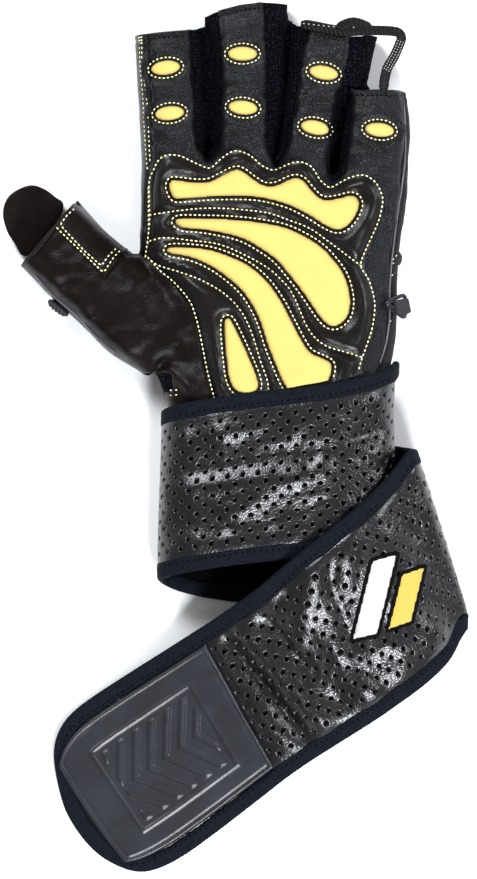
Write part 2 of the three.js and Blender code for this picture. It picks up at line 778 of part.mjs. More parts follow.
function snapped(geometry) {
  const place = geometry.attributes.position;
  for (let i = 0; i < place.count; i += 1) {
    const at = ['X', 'Y', 'Z'].map((axis) => Math.round(place[`get${axis}`](i) / LATTICE) * LATTICE);
    place.setXYZ(i, ...at);
  }
  const merged = mergeVertices(geometry, LATTICE / 10);
  const old = merged.index.array;
  const faces = new Map();
  for (let i = 0; i < old.length; i += 3) {
    const corners = Array.from(old.slice(i, i + 3));
    const key = corners.slice().sort((one, two) => one - two).join();
    if (new Set(corners).size === 3) {
      faces.set(key, [...(faces.get(key) ?? []), corners]);
    }
  }
  const single = [...faces.values()].filter((alike) => alike.length % 2 === 1);
  merged.setIndex(single.flatMap((alike) => alike[0]));
  return merged;
}

// Drops the vertices that no face uses.
function compact(geometry) {
  const old = geometry.attributes.position;
  const places = new Map();
  const positions = [];
  const faces = Array.from(geometry.index.array, (i) => {
    if (!places.has(i)) {
      places.set(i, places.size);
      positions.push(old.getX(i), old.getY(i), old.getZ(i));
    }
    return places.get(i);
  });
  return indexed(positions, faces);
}

// The wrap as a grid of points: rows run along the band, columns across it
const TURN_STEPS = 26;
const WOUND_TURN = 0.74;

function upperEdge(turn) {
  const half = 1 - 2 * turn;
  return palmY(0) + (half > 0 ? CUFF_RISE * half ** CUFF_SWEEP : CUFF_DROP * half);
}

function lowerEdge(turn) {
  return upperEdge(turn) - THREE.MathUtils.lerp(CUFF_WIDTH, WRAP_WIDTH, Math.max(2 * turn - 1, 0));
}

const columnsAcross = (width) => {
  const edge = BINDING_WIDTH / width;
  const joint = (2 * GAP) / width;
  return [0, edge, edge + joint, 0.3, 0.5, 0.7, 1 - edge - joint, 1 - edge, 1];
};

const COLUMNS = columnsAcross(WRAP_WIDTH);

function woundRow(turn) {
  const angle = turn * 2 * Math.PI;
  return COLUMNS.map((share) => {
    const y = THREE.MathUtils.lerp(upperEdge(turn), lowerEdge(turn), share);
    const section = grown(palmSection(y / PALM_LENGTH), WRAP_OFFSET);
    const found = sectionPoint(section, angle);
    return new THREE.Vector3(found.across, y, found.up);
  });
}

const wristSection = palmSection(-CUFF_DROP / PALM_LENGTH);
const foldUpper = new THREE.Vector3(wristSection.right + FOLD_STAND_OFF, upperEdge(1), 0);
const foldLower = new THREE.Vector3(foldUpper.x + FOLD_SLANT, lowerEdge(1), 0);
const wristRise = wristSection.high + WRAP_OFFSET - FLOOR_LINE;

function ruledRow(upper, lower) {
  return COLUMNS.map((share) => upper.clone().lerp(lower, share));
}

function foldRow(row) {
  const upper = foldUpper.clone();
  const lower = foldLower.clone();
  upper.x -= row.upperBack * FOLD_STAND_OFF;
  lower.x -= row.lowerBack * FOLD_STAND_OFF;
  upper.y += row.upperBack * FOLD_STAND_OFF * Math.tan(BACK_SLOPE);
  lower.y += row.lowerBack * FOLD_STAND_OFF * Math.tan(BACK_SLOPE);
  upper.z = FLOOR_LINE + row.upperRise * wristRise;
  lower.z = FLOOR_LINE + row.lowerRise * LAYER_STEP;
  return ruledRow(upper, lower);
}

const BACK_SLOPE = Math.atan2(CUFF_DROP, wristSection.right - wristSection.left);
const tailTurn = TAIL_TURN * RADIANS;
const tailAhead = new THREE.Vector3(-Math.cos(tailTurn), -Math.sin(tailTurn), 0);
const tailAside = new THREE.Vector3(Math.sin(tailTurn), -Math.cos(tailTurn), 0);

function tailPoint(along, across) {
  return foldUpper.clone()
    .addScaledVector(tailAhead, along * TAIL_LENGTH)
    .addScaledVector(tailAside, across * WRAP_WIDTH)
    .setZ(FLOOR_LINE);
}

// The lowest that the band's middle may lie at a place in plan.
const EDGE_MARGIN = 5;
const CUFF_MARGIN = 10;

function supportAt(x, y) {
  const left = wristSection.left;
  const right = wristSection.right;
  const reach = THREE.MathUtils.clamp((right - x) / (right - left), 0, 1);
  let height = FLOOR_LINE;
  const backEdge = THREE.MathUtils.lerp(lowerEdge(1), lowerEdge(0.5), reach);
  if (y > backEdge - EDGE_MARGIN && x > left - EDGE_MARGIN) {
    height = FLOOR_LINE + LAYER_STEP;
  }
  const frontEdge = THREE.MathUtils.lerp(lowerEdge(0), lowerEdge(0.5), reach);
  const overFront = y > frontEdge - CUFF_MARGIN && x > left - EDGE_MARGIN;
  if (overFront && x < right + WRAP_OFFSET + LAYER_STEP) {
    const section = grown(palmSection(y / PALM_LENGTH), WRAP_OFFSET + LAYER_STEP + 2 * FIT);
    const centre = (section.left + section.right) / 2;
    const half = (section.right - section.left) / 2;
    const away = Math.min(Math.abs(x - centre) / half, 1);
    const waist = section.low + WAIST_SHARE * (section.high - section.low);
    const arch = (1 - away ** ARCH_POWER) ** (1 / ARCH_POWER);
    height = Math.max(height, waist + (section.high - waist) * arch);
  }
  return height;
}

const SETTLE_ROUNDS = 160;
const SETTLE_SAG = 0.08;
const ALONG_PULL = 0.5;
const ACROSS_PULL = 0.25;

// Lets the tail's rows hang between what carries them, with the first two rows held.
function settle(rows) {
  for (let round = 0; round < SETTLE_ROUNDS; round += 1) {
    for (let i = 1; i < rows.length; i += 1) {
      for (let j = 0; j < COLUMNS.length; j += 1) {
        const along = i + 1 < rows.length ? (rows[i - 1][j].z + rows[i + 1][j].z) / 2 : rows[i - 1][j].z;
        const before = rows[i][Math.max(j - 1, 0)].z;
        const after = rows[i][Math.min(j + 1, COLUMNS.length - 1)].z;
        const pulled = ALONG_PULL * along + ACROSS_PULL * (before + after) - SETTLE_SAG;
        rows[i][j].z = Math.max(pulled, supportAt(rows[i][j].x, rows[i][j].y));
      }
    }
  }
}

const TAIL_STEPS = 26;
const FOLD_STEPS = 11;
const END_ROWS = 4;

function denseRows(rows, steps) {
  const found = [];
  for (let i = 0; i <= steps; i += 1) {
    const at = (i / steps) * (rows.length - 1);
    const k = Math.min(Math.floor(at), rows.length - 2);
    found.push(COLUMNS.map((_, j) => {
      const near = [-1, 0, 1, 2].map((n) => rows[THREE.MathUtils.clamp(k + n, 0, rows.length - 1)][j]);
      const value = (axis) => cubic(...near.map((point) => point[axis]), at - k);
      return new THREE.Vector3(value('x'), value('y'), value('z'));
    }));
  }
  return found;
}

function addCreases(rows) {
  for (const row of rows) {
    row.forEach((point, j) => {
      const away = point.clone().sub(foldUpper).setZ(0);
      const along = away.dot(tailAhead) / TAIL_LENGTH;
      for (const crease of TAIL_CREASES) {
        const off = (along - crease.along - crease.slant * (COLUMNS[j] - 0.5)) / crease.spread;
        point.z += crease.rise * BINDING_THICKNESS * Math.exp(-off * off);
      }
    });
  }
}

function wrapGrid() {
  const wound = [];
  for (let i = 0; i <= TURN_STEPS; i += 1) {
    wound.push(woundRow((i / TURN_STEPS) * WOUND_TURN));
  }
  const fold = denseRows(FOLD_ROWS.map(foldRow), FOLD_STEPS);
  const placed = TAIL_ROWS.map((row) => ruledRow(
    tailPoint(row.upperAlong, row.upperAcross),
    tailPoint(row.lowerAlong, row.lowerAcross),
  ));
  const tail = denseRows(placed, TAIL_STEPS);
  settle([fold.at(-1), ...tail]);
  addCreases(tail);
  return [...wound, ...fold, ...tail];
}

const grid = wrapGrid();
const bandEnd = grid.length - END_ROWS;

// One more row just short of the end binding, where the band and its patch stop.
const shortOf = grid[bandEnd].map((point, j) => {
  const back = grid[bandEnd - 1][j].clone().sub(point).setLength(2 * GAP);
  return back.add(point);
});
grid.splice(bandEnd, 0, shortOf);
const lastRow = grid.length - 1;

function gridNormal(i, j) {
  const ahead = grid[Math.min(i + 1, grid.length - 1)][j].clone().sub(grid[Math.max(i - 1, 0)][j]);
  const across = grid[i][Math.min(j + 1, COLUMNS.length - 1)].clone().sub(grid[i][Math.max(j - 1, 0)]);
  return ahead.cross(across).normalize();
}

// The outer face of the band is on the side away from the wrist, which is up over the palm.
const MIDDLE_COLUMN = (COLUMNS.length - 1) / 2;
const TOP_ROW = Math.round((TURN_STEPS * 0.25) / WOUND_TURN);
const OUTWARDS = Math.sign(gridNormal(TOP_ROW, MIDDLE_COLUMN).z);

// A slab that follows the grid over some rows and columns.
function slab(rowSpan, columnSpan, below, above) {
  const layer = (height) => {
    const rows = [];
    for (let i = rowSpan[0]; i <= rowSpan[1]; i += 1) {
      const row = [];
      for (let j = columnSpan[0]; j <= columnSpan[1]; j += 1) {
        row.push(grid[i][j].clone().addScaledVector(gridNormal(i, j), height * OUTWARDS));
      }
      rows.push(row);
    }
    return rows;
  };
  const low = layer(below);
  const high = layer(above);
  const rings = low.map((row, i) => [...row, ...high[i].slice().reverse()]);
  return stripLoft(rings, columnSpan[1] - columnSpan[0] + 1);
}

// A closed strip through flat rings, each a row of low points and the high ones back again.
function stripLoft(rings, wide) {
  const sides = rings[0].length;
  const positions = rings.flat().flatMap((point) => [point.x, point.y, point.z]);
  const faces = sideFaces(rings);
  const endFace = (start, turned) => {
    for (let j = 0; j < wide - 1; j += 1) {
      const a = start + j;
      const b = start + j + 1;
      const c = start + sides - 2 - j;
      const d = start + sides - 1 - j;
      faces.push(...(turned ? [a, c, b, a, d, c] : [a, b, c, a, c, d]));
    }
  };
  endFace(0, true);
  endFace((rings.length - 1) * sides, false);
  return solidOf(indexed(positions, faces));
}

const BAND_COLUMNS = [2, 6];
const UPPER_COLUMNS = [0, 1];
const LOWER_COLUMNS = [7, 8];

function bandSolid() {
  return slab([0, bandEnd], BAND_COLUMNS, -BAND_THICKNESS / 2, BAND_THICKNESS / 2);
}

function bindingSolid() {
  const half = BINDING_THICKNESS / 2;
  const upper = slab([0, lastRow], UPPER_COLUMNS, -half, half);
  const lower = slab([0, lastRow], LOWER_COLUMNS, -half, half);
  const end = slab([bandEnd + 1, lastRow], [0, COLUMNS.length - 1], -half, half);
  return upper.add(lower).add(end);
}

function endPatchSolid() {
  const start = grid.findIndex((row, i) => {
    const away = row[MIDDLE_COLUMN].distanceTo(grid[bandEnd][MIDDLE_COLUMN]);
    return i > TURN_STEPS + FOLD_STEPS && away < END_PATCH_LENGTH;
  });
  const low = BAND_THICKNESS / 2 + 2 * GAP;
  return slab([start, bandEnd], BAND_COLUMNS, low, low + END_PATCH_THICKNESS);
}

// Sewn-on pieces laid over the hand
const cuffLine = [];
for (let i = 0; i <= TURN_STEPS; i += 1) {
  const turn = (i / TURN_STEPS) * WOUND_TURN;
  if (turn <= 0.5) {
    cuffLine.push(woundRow(turn)[0]);
  }
}
const cuffRegion = prism([
  ...cuffLine.map((point) => new THREE.Vector3(point.x, point.y + FIT, 0)),
  new THREE.Vector3(cuffLine.at(-1).x, -TALL, 0),
  new THREE.Vector3(farRight, -TALL, 0),
  new THREE.Vector3(farRight, cuffLine[0].y + FIT, 0),
]);

function laidOver(outline, lift, height) {
  return prism(outline).intersect(raised(lift + height)).subtract(raised(lift));
}

// Keeps a laid piece clear of the steep walls between and beside the fingers.
function clearOfWalls(solid) {
  return [[GAP, 0], [-GAP, 0], [0, GAP]].reduce(
    (left, [x, y]) => left.subtract(solidOf(shifted(outsideGeometry, x, y, 0))),
    solid,
  );
}

const SHOULDER_SHARE = 0.6;

// A laid piece with a stepped shoulder, so that its edge is lower than its middle.
function padOver(outline, lift, height, shoulder) {
  const low = prism(outline).intersect(raised(lift + height * SHOULDER_SHARE));
  const high = narrowed(outline, shoulder).intersect(raised(lift + height));
  return low.add(high).subtract(raised(lift));
}

const PAD_POINTS = 32;
const OVERLAY_POINTS = 52;
const smoothPlan = (table, count) => splineThrough(table.map(palmPoint), count, true);
const OVERLAY_LOWEST = 0.66;
const onOverlay = GAP + OVERLAY_THICKNESS + GAP;

function padSolid(table) {
  const outline = smoothPlan(table, PAD_POINTS);
  return padOver(outline, onOverlay, PAD_HEIGHT, PAD_SHOULDER).subtract(cuffRegion);
}

const OVAL_SIDES = 12;

function ovalSolid(row) {
  const finger = FINGERS[row.finger];
  const centre = fingerPoint(finger, row.along, row.aside);
  const turn = (row.turn - finger.lean) * RADIANS;
  const outline = [];
  for (let i = 0; i < OVAL_SIDES; i += 1) {
    const angle = (i / OVAL_SIDES) * 2 * Math.PI;
    const x = (OVAL_LENGTH / 2) * Math.cos(angle);
    const y = (OVAL_WIDTH / 2) * Math.sin(angle);
    outline.push(new THREE.Vector3(
      centre.x + x * Math.cos(turn) - y * Math.sin(turn),
      centre.y + x * Math.sin(turn) + y * Math.cos(turn),
      0,
    ));
  }
  return padOver(outline, GAP, OVAL_HEIGHT, OVAL_WIDTH / 5);
}

// Highest point of the outside at a place in plan.
const caster = new THREE.Raycaster();
const outsideMesh = new THREE.Mesh(outsideGeometry, new THREE.MeshBasicMaterial({ side: THREE.DoubleSide }));

function topAt(x, y) {
  caster.set(new THREE.Vector3(x, y, TALL), new THREE.Vector3(0, 0, -1));
  const hits = caster.intersectObject(outsideMesh);
  return hits.length ? hits[0].point.z : 0;
}

// A strip of even thickness through a centre line, each place with its half width and side way.
function ribbon(places, thickness) {
  const rings = places.map((place) => {
    const left = place.middle.clone().addScaledVector(place.aside, -place.half);
    const right = place.middle.clone().addScaledVector(place.aside, place.half);
    const up = place.up.clone().multiplyScalar(thickness / 2);
    return [left.clone().sub(up), right.clone().sub(up), right.clone().add(up), left.clone().add(up)];
  });
  return stripLoft(rings, 2);
}

function tabSolid() {
  const across = thumbPoint(0, 1).sub(thumbPoint(0, 0));
  const level = WALL + 3 * GAP + TAB_THICKNESS / 2;
  return ribbon(TAB_ROWS.map((row) => ({
    middle: thumbPoint(-row.out * TAB_LENGTH, 0, level + row.rise * THUMB_DEPTH),
    aside: across,
    half: row.half * TAB_WIDTH,
    up: new THREE.Vector3(0, 0, 1),
  })), TAB_THICKNESS);
}

function thumbPatchSolid() {
  const points = THUMB_PATCH.map((row) => thumbPoint(row.along * THUMB_LENGTH, row.across * THUMB_WIDTH));
  return laidOver(splineThrough(points, 28, true), GAP, PATCH_THICKNESS);
}

const BUMP_ALONG = 0.3;
const CORNER_SHARE = 0.6;

function bumpSolid() {
  const row = rowAt(THUMB_ROWS, 'along', BUMP_ALONG);
  const edge = row.lower * THUMB_WIDTH;
  const half = BUMP_LENGTH / 2 / THUMB_LENGTH;
  const corner = (along, across) => thumbPoint(along * THUMB_LENGTH, across);
  const outline = [
    corner(BUMP_ALONG - half, edge - WALL),
    corner(BUMP_ALONG - half, edge + BUMP_REACH * CORNER_SHARE),
    corner(BUMP_ALONG - half * CORNER_SHARE, edge + BUMP_REACH),
    corner(BUMP_ALONG + half * CORNER_SHARE, edge + BUMP_REACH),
    corner(BUMP_ALONG + half, edge + BUMP_REACH * CORNER_SHARE),
    corner(BUMP_ALONG + half, edge - WALL),
  ];
  const low = WAIST_SHARE * row.deep * THUMB_DEPTH - BUMP_HEIGHT / 2;
  const around = solidOf(loft(thumbRings(-GAP)));
  return prism(outline, low, low + BUMP_HEIGHT).subtract(around);
}

const LACE_STEPS = 26;

function laceSolid() {
  const route = LACE_ROUTE.map((row) => palmPoint(row).setZ(row.rise * FINGER_DEPTH));
  const line = splineThrough(route, LACE_STEPS, false);
  const places = line.map((middle, i) => {
    const before = line[Math.max(i - 1, 0)];
    const after = line[Math.min(i + 1, line.length - 1)];
    const ahead = after.clone().sub(before).setZ(0).normalize();
    const lowest = topAt(middle.x, middle.y) + LACE_THICKNESS / 2 + GAP;
    return {
      middle: middle.clone().setZ(Math.max(middle.z, lowest)),
      aside: new THREE.Vector3(-ahead.y, ahead.x, 0),
      half: LACE_WIDTH / 2,
      up: new THREE.Vector3(0, 0, 1),
    };
  });
  return clearOfWalls(ribbon(places, LACE_THICKNESS).subtract(raised(GAP)));
}

// Fittings of the outer edge
const RING_TILT = 50 * RADIANS;
const RING_SEAT = 22 * RADIANS;
const WEBBING_SEAT = -10 * RADIANS;
const WEBBING_TURNS = [-40, 0, 40, 80, 120, 150];

// A place beside the palm's arched edge, out from the wall.
function besideEdge(v, angle, out) {
  const found = sectionPoint(grown(palmSection(v), out), angle);
  return new THREE.Vector3(found.across, palmY(v), found.up);
}

// The triangle's tip points in over the palm. inset draws its three sides in.
function ringOutline(inset) {
  const slope = Math.atan2(TRIANGLE_WIDTH / 2, TRIANGLE_LENGTH);
  const tip = -TRIANGLE_LENGTH / 2 + inset / Math.sin(slope);
  const base = TRIANGLE_LENGTH / 2 - inset;
  const half = (base - tip) * Math.tan(slope);
  return [new THREE.Vector2(tip, 0), new THREE.Vector2(base, -half), new THREE.Vector2(base, half)];
}

const ringSeat = besideEdge(SIDE_RING_V, RING_SEAT, RING_WIRE);

function ringSolid() {
  const shape = new THREE.Shape(ringOutline(0));
  shape.holes.push(new THREE.Path(ringOutline(RING_WIRE).reverse()));
  const body = new THREE.ExtrudeGeometry(shape, { depth: RING_WIRE, bevelEnabled: false, steps: 1 });
  body.translate(0, 0, -RING_WIRE / 2);
  body.rotateY(RING_TILT);
  return solidOf(body.translate(ringSeat.x, ringSeat.y, ringSeat.z)).subtract(raised(GAP));
}

// Webbing from the wall, out round the ring's base bar and back in through the ring.
function webbingSolid() {
  const out = (TRIANGLE_LENGTH - RING_WIRE) / 2;
  const bar = new THREE.Vector3(out * Math.cos(RING_TILT), 0, -out * Math.sin(RING_TILT)).add(ringSeat);
  const turn = RING_WIRE / Math.SQRT2 + FIT + WEBBING_THICKNESS / 2;
  const wall = besideEdge(SIDE_RING_V, WEBBING_SEAT, FIT + WEBBING_THICKNESS / 2);
  const line = [wall];
  for (const angle of WEBBING_TURNS) {
    const x = bar.x + turn * Math.cos(angle * RADIANS);
    line.push(new THREE.Vector3(x, bar.y, bar.z + turn * Math.sin(angle * RADIANS)));
  }
  const places = line.map((middle, i) => {
    const ahead = line[Math.min(i + 1, line.length - 1)].clone().sub(line[Math.max(i - 1, 0)]).normalize();
    return {
      middle,
      aside: new THREE.Vector3(0, 1, 0),
      half: WEBBING_WIDTH / 2,
      up: new THREE.Vector3(-ahead.z, 0, ahead.x),
    };
  });
  return ribbon(places, WEBBING_THICKNESS);
}

// The end of a small loop caught in the outer seam.
function sideLoopSolid() {
  const wall = besideEdge(SIDE_LOOP_V, 0, 0);
  const half = SIDE_LOOP_LENGTH / 2;
  const outline = [
    new THREE.Vector3(wall.x - WALL, wall.y - half, 0),
    new THREE.Vector3(wall.x + SIDE_LOOP_REACH * CORNER_SHARE, wall.y - half, 0),
    new THREE.Vector3(wall.x + SIDE_LOOP_REACH, wall.y - half / 2, 0),
    new THREE.Vector3(wall.x + SIDE_LOOP_REACH, wall.y + half / 2, 0),
    new THREE.Vector3(wall.x + SIDE_LOOP_REACH * CORNER_SHARE, wall.y + half, 0),
    new THREE.Vector3(wall.x - WALL, wall.y + half, 0),
  ];
  const low = wall.z - SIDE_LOOP_HEIGHT / 2;
  return prism(outline, low, low + SIDE_LOOP_HEIGHT).subtract(solidOf(loft(palmRings(-GAP))));
}

const parts = {};
const region = (name) => front.intersect(inside(regions[name]));
const cleared = (solid, names) => names.reduce((left, name) => left.subtract(around(regions[name])), solid);

parts.back_panel = shell.intersect(block(-1, BACK_SEAM_HEIGHT - GAP / 2));
parts.palm_leather = cleared(front, Object.keys(regions));
parts.index_side = cleared(region('index'), ['thumb']);
parts.outer_side = region('outer');
parts.gusset_index_middle = region('index_middle');
parts.gusset_middle_ring = region('middle_ring');
parts.gusset_ring_little = region('ring_little');
parts.thumb_leather = region('thumb').subtract(around(INSERT_REGION));
parts.thumb_base_gusset = region('thumb').intersect(inside(INSERT_REGION));
const overlayPlan = smoothPlan(OVERLAY_OUTLINE, OVERLAY_POINTS);
parts.palm_overlay = clearOfWalls(laidOver(overlayPlan, GAP, OVERLAY_THICKNESS))
  .subtract(cuffRegion)
  .intersect(block(OVERLAY_LOWEST * PALM_DEPTH, TALL));
parts.pad_knuckle = padSolid(PAD_KNUCKLE);
parts.pad_crescent = padSolid(PAD_CRESCENT);
parts.pad_arch = padSolid(PAD_ARCH);
parts.pad_heel = padSolid(PAD_HEEL);
OVALS.forEach((row, i) => {
  const count = OVALS.slice(0, i + 1).filter((other) => other.finger === row.finger).length;
  parts[`oval_${row.finger}_${count}`] = ovalSolid(row);
});
parts.thumb_patch = thumbPatchSolid();
parts.thumb_tab = tabSolid();
parts.thumb_bump = bumpSolid();
parts.pull_loop = laceSolid();
parts.side_ring = ringSolid();
parts.side_webbing = webbingSolid();
parts.side_loop = sideLoopSolid();
parts.wrist_wrap = bandSolid();
parts.wrap_binding = bindingSolid();
parts.end_patch = endPatchSolid();

// Colours and finishes
const LEATHER = { color: 0x2a2829, roughness: 0.55 };
const DARK_LEATHER = { color: 0x221d1b, roughness: 0.6 };
const BROWN_LEATHER = { color: 0x1c1614, roughness: 0.5 };
const KNIT = { color: 0x0c0b14, roughness: 0.95 };
const PAD = { color: 0xfcec88, roughness: 0.6 };
const BAND = { color: 0x2e2b2d, roughness: 0.45 };
const BINDING = { color: 0x1b2330, roughness: 0.9 };
const RUBBER = { color: 0x45464b, roughness: 0.7 };
const PLASTIC = { color: 0x141416, roughness: 0.35 };
const finishOf = (name) => {
  if (name.startsWith('pad') || name.startsWith('oval')) {
    return PAD;
  }
  if (name.startsWith('gusset') || name.startsWith('thumb_base')) {
    return KNIT;
  }
  const named = {
    palm_overlay: DARK_LEATHER,
    thumb_leather: BROWN_LEATHER,
    thumb_patch: DARK_LEATHER,
    thumb_tab: DARK_LEATHER,
    wrist_wrap: BAND,
    wrap_binding: BINDING,
    pull_loop: BINDING,
    end_patch: RUBBER,
    thumb_bump: RUBBER,
    side_ring: PLASTIC,
  };
  return named[name] ?? LEATHER;
};

const group = new THREE.Group();
const box = new THREE.Box3();
for (const [name, solid] of Object.entries(parts)) {
  const geometry = mainPart(solid);
  geometry.computeVertexNormals();
  geometry.computeBoundingBox();
  box.union(geometry.boundingBox);
  const mesh = new THREE.Mesh(geometry, new THREE.MeshStandardMaterial({ ...finishOf(name), metalness: 0 }));
  mesh.name = name;
  group.add(mesh);
}

// The origin is under the middle of the whole, on the surface that it lies on.
const centre = box.getCenter(new THREE.Vector3());
const onLattice = (value) => Math.round(value / LATTICE) * LATTICE;
group.position.set(-onLattice(centre.x), -onLattice(centre.y), -onLattice(box.min.z));

export default group;
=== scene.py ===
"""Half-finger weightlifting glove, palm up, with its long perforated wrist wrap laid out to one side."""
import logging
import math
from collections.abc import Callable, Iterable, Sequence
from dataclasses import dataclass, field
from enum import Enum

import bmesh
import bpy
import numpy as np
from mathutils import Matrix, Vector, noise
from mathutils.bvhtree import BVHTree


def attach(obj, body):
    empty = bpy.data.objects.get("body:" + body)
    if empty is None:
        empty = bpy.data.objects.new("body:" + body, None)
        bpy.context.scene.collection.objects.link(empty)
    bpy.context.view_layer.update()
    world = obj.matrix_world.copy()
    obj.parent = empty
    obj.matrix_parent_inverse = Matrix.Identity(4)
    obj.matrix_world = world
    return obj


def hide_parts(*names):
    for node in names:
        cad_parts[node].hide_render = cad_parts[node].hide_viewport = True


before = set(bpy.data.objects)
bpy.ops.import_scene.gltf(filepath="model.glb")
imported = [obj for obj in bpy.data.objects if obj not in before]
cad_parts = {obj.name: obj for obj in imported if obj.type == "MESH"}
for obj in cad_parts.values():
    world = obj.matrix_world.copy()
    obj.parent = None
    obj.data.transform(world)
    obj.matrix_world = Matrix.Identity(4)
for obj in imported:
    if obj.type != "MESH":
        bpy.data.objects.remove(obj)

LOG = logging.getLogger("glove")
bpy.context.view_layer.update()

# The hand's own frame is in millimetres: X across from the palm's left edge, Y up from the wrist line.
HAND_OFFSET = Vector((-40.33, 12.49, 0.07))
TO_FRAME = Matrix.Scale(0.001, 4) @ Matrix.Translation(HAND_OFFSET)
PALM_WIDTH = 108.0
PALM_LENGTH = 98.0
PALM_DEPTH = 28.0
WRIST_LIFT = 3.4
FINGER_DEPTH = 25.0
THUMB_LENGTH = 66.0
THUMB_WIDTH = 34.5
THUMB_DEPTH = 24.0
THUMB_TURN = math.radians(52)
BACK_SEAM_HEIGHT = 8.0
ARCH_POWER = 2.5
FLAT_POWER = 4.0
WAIST_SHARE = 0.44
FLAT_REACH = 1.06

# Plan tables count steps of about 0.4 mm, across from a margin and down from the top.
STEP_ACROSS = PALM_WIDTH / 271
STEP_DOWN = 0.4
MARGIN_ACROSS = 137
WRIST_ROW = 410


def plan(points: Iterable[tuple[float, float]]) -> np.ndarray:
    """Turns places counted in steps into millimetres in the hand's plan.

    Args:
        points: (across, down) in steps.

    Returns:
        An array of (x, y) in millimetres.
    """
    return np.array([((x - MARGIN_ACROSS) * STEP_ACROSS, (WRIST_ROW - y) * STEP_DOWN) for x, y in points])


# Curves and fields


def cubic(a: np.ndarray, b: np.ndarray, c: np.ndarray, d: np.ndarray, t: float) -> np.ndarray:
    """Smooth value between b and c, with a before and d after."""
    return b + 0.5 * t * ((c - a) + t * ((2 * a - 5 * b + 4 * c - d) + t * (3 * b - a - 3 * c + d)))


def row_at(table: np.ndarray, place: float) -> np.ndarray:
    """A table's row at a place of its first column, smooth through the rows.

    Args:
        table: the rows, in order of their first column.
        place: the place looked for.

    Returns:
        The row.
    """
    last = len(table) - 1
    i = 0
    while i < last - 1 and table[i + 1, 0] < place:
        i += 1
    t = min(max((place - table[i, 0]) / (table[i + 1, 0] - table[i, 0]), 0.0), 1.0)
    row = cubic(table[max(i - 1, 0)], table[i], table[i + 1], table[min(i + 2, last)], t)
    row[0] = place
    return row


def even_line(line: np.ndarray, pitch: float, closed: bool = False) -> np.ndarray:
    """Places at an even pitch along a line of any dimension.

    Args:
        line: the line's places.
        pitch: the distance wanted between places.
        closed: whether it returns to its start.

    Returns:
        The places.
    """
    if closed:
        line = np.vstack([line, line[:1]])
    reach = np.r_[0, np.cumsum(np.linalg.norm(np.diff(line, axis=0), axis=1))]
    count = max(int(round(reach[-1] / pitch)), 2)
    want = np.linspace(0, reach[-1], count + 1)
    found = np.column_stack([np.interp(want, reach, line[:, k]) for k in range(line.shape[1])])
    return found[:-1] if closed else found


def smooth_line(points: np.ndarray, pitch: float, closed: bool = False) -> np.ndarray:
    """A smooth line through points, at an even pitch.

    Args:
        points: the line's guide places.
        pitch: millimetres between the places found.
        closed: whether the line returns to its start.

    Returns:
        The places along the line.
    """
    count = len(points)
    found = []
    for i in range(count if closed else count - 1):
        near = [(i + k) % count if closed else min(max(i + k, 0), count - 1) for k in (-1, 0, 1, 2)]
        found += [cubic(*(points[n] for n in near), t) for t in np.linspace(0, 1, 10, endpoint=False)]
    if not closed:
        found.append(points[-1])
    return even_line(np.array(found), pitch, closed)


def line_distance(places: np.ndarray, line: np.ndarray, closed: bool = False) -> np.ndarray:
    """Distance in plan from each place to a line.

    Args:
        places: places in plan.
        line: the line in plan.
        closed: whether it returns to its start.

    Returns:
        The distances.
    """
    if closed:
        line = np.vstack([line, line[:1]])
    best = np.full(len(places), 1e9)
    for start, end in zip(line[:-1], line[1:]):
        way = end - start
        along = np.clip(((places - start) @ way) / max(float(way @ way), 1e-9), 0, 1)
        best = np.minimum(best, np.linalg.norm(places - start - along[:, None] * way, axis=1))
    return best


def inside(places: np.ndarray, outline: np.ndarray) -> np.ndarray:
    """Which places lie inside a closed outline.

    Args:
        places: places in plan.
        outline: the outline in plan.

    Returns:
        True for each place inside.
    """
    x, y = places[:, 0], places[:, 1]
    found = np.zeros(len(places), bool)
    for (x0, y0), (x1, y1) in zip(outline, np.roll(outline, -1, axis=0)):
        crosses = (y0 > y) != (y1 > y)
        at = x0 + (y - y0) * (x1 - x0) / (y1 - y0 if y1 != y0 else 1e-9)
        found ^= crosses & (x < at)
    return found


def offset_line(line: np.ndarray, by: float, closed: bool = True) -> np.ndarray:
    """A line moved sideways, outwards for a closed one.

    Args:
        line: the line in plan.
        by: how far it moves.
        closed: whether it returns to its start.

    Returns:
        The moved line.
    """
    ahead = np.roll(line, -1, axis=0) - np.roll(line, 1, axis=0)
    if not closed:
        ahead[0], ahead[-1] = line[1] - line[0], line[-1] - line[-2]
    ahead /= np.linalg.norm(ahead, axis=1)[:, None] + 1e-9
    side = np.column_stack([ahead[:, 1], -ahead[:, 0]])
    x, y = line[:, 0], line[:, 1]
    area = np.sum(x * np.roll(y, -1) - np.roll(x, -1) * y)
    return line + side * by * (1.0 if not closed or area > 0 else -1.0)


def bell(distance: np.ndarray, width: float) -> np.ndarray:
    """1 on a line, falling to nothing over about twice the width."""
    return np.exp(-((distance / width) ** 2))


def ripple(places: np.ndarray, sizes: tuple[float, float], seed: float) -> np.ndarray:
    """Soft random relief between about -1 and 1, with its own length along X and Y in millimetres."""
    across, down = sizes
    found = [noise.noise(Vector((x / across, y / down, seed))) for x, y in places[:, :2]]
    return np.array(found) * 1.6


# Making pieces


def add_node(tree: bpy.types.NodeTree, kind: str, inputs: dict | None = None, **settings) -> bpy.types.Node:
    """Adds a shader node.

    Args:
        tree: the material's nodes.
        kind: the node's type name.
        inputs: socket name to a value, or to the socket that feeds it.
        settings: the node's own properties.

    Returns:
        The new node.
    """
    node = tree.nodes.new(kind)
    for key, value in settings.items():
        setattr(node, key, value)
    for key, value in (inputs or {}).items():
        if isinstance(value, bpy.types.NodeSocket):
            tree.links.new(value, node.inputs[key])
        else:
            node.inputs[key].default_value = value
    return node


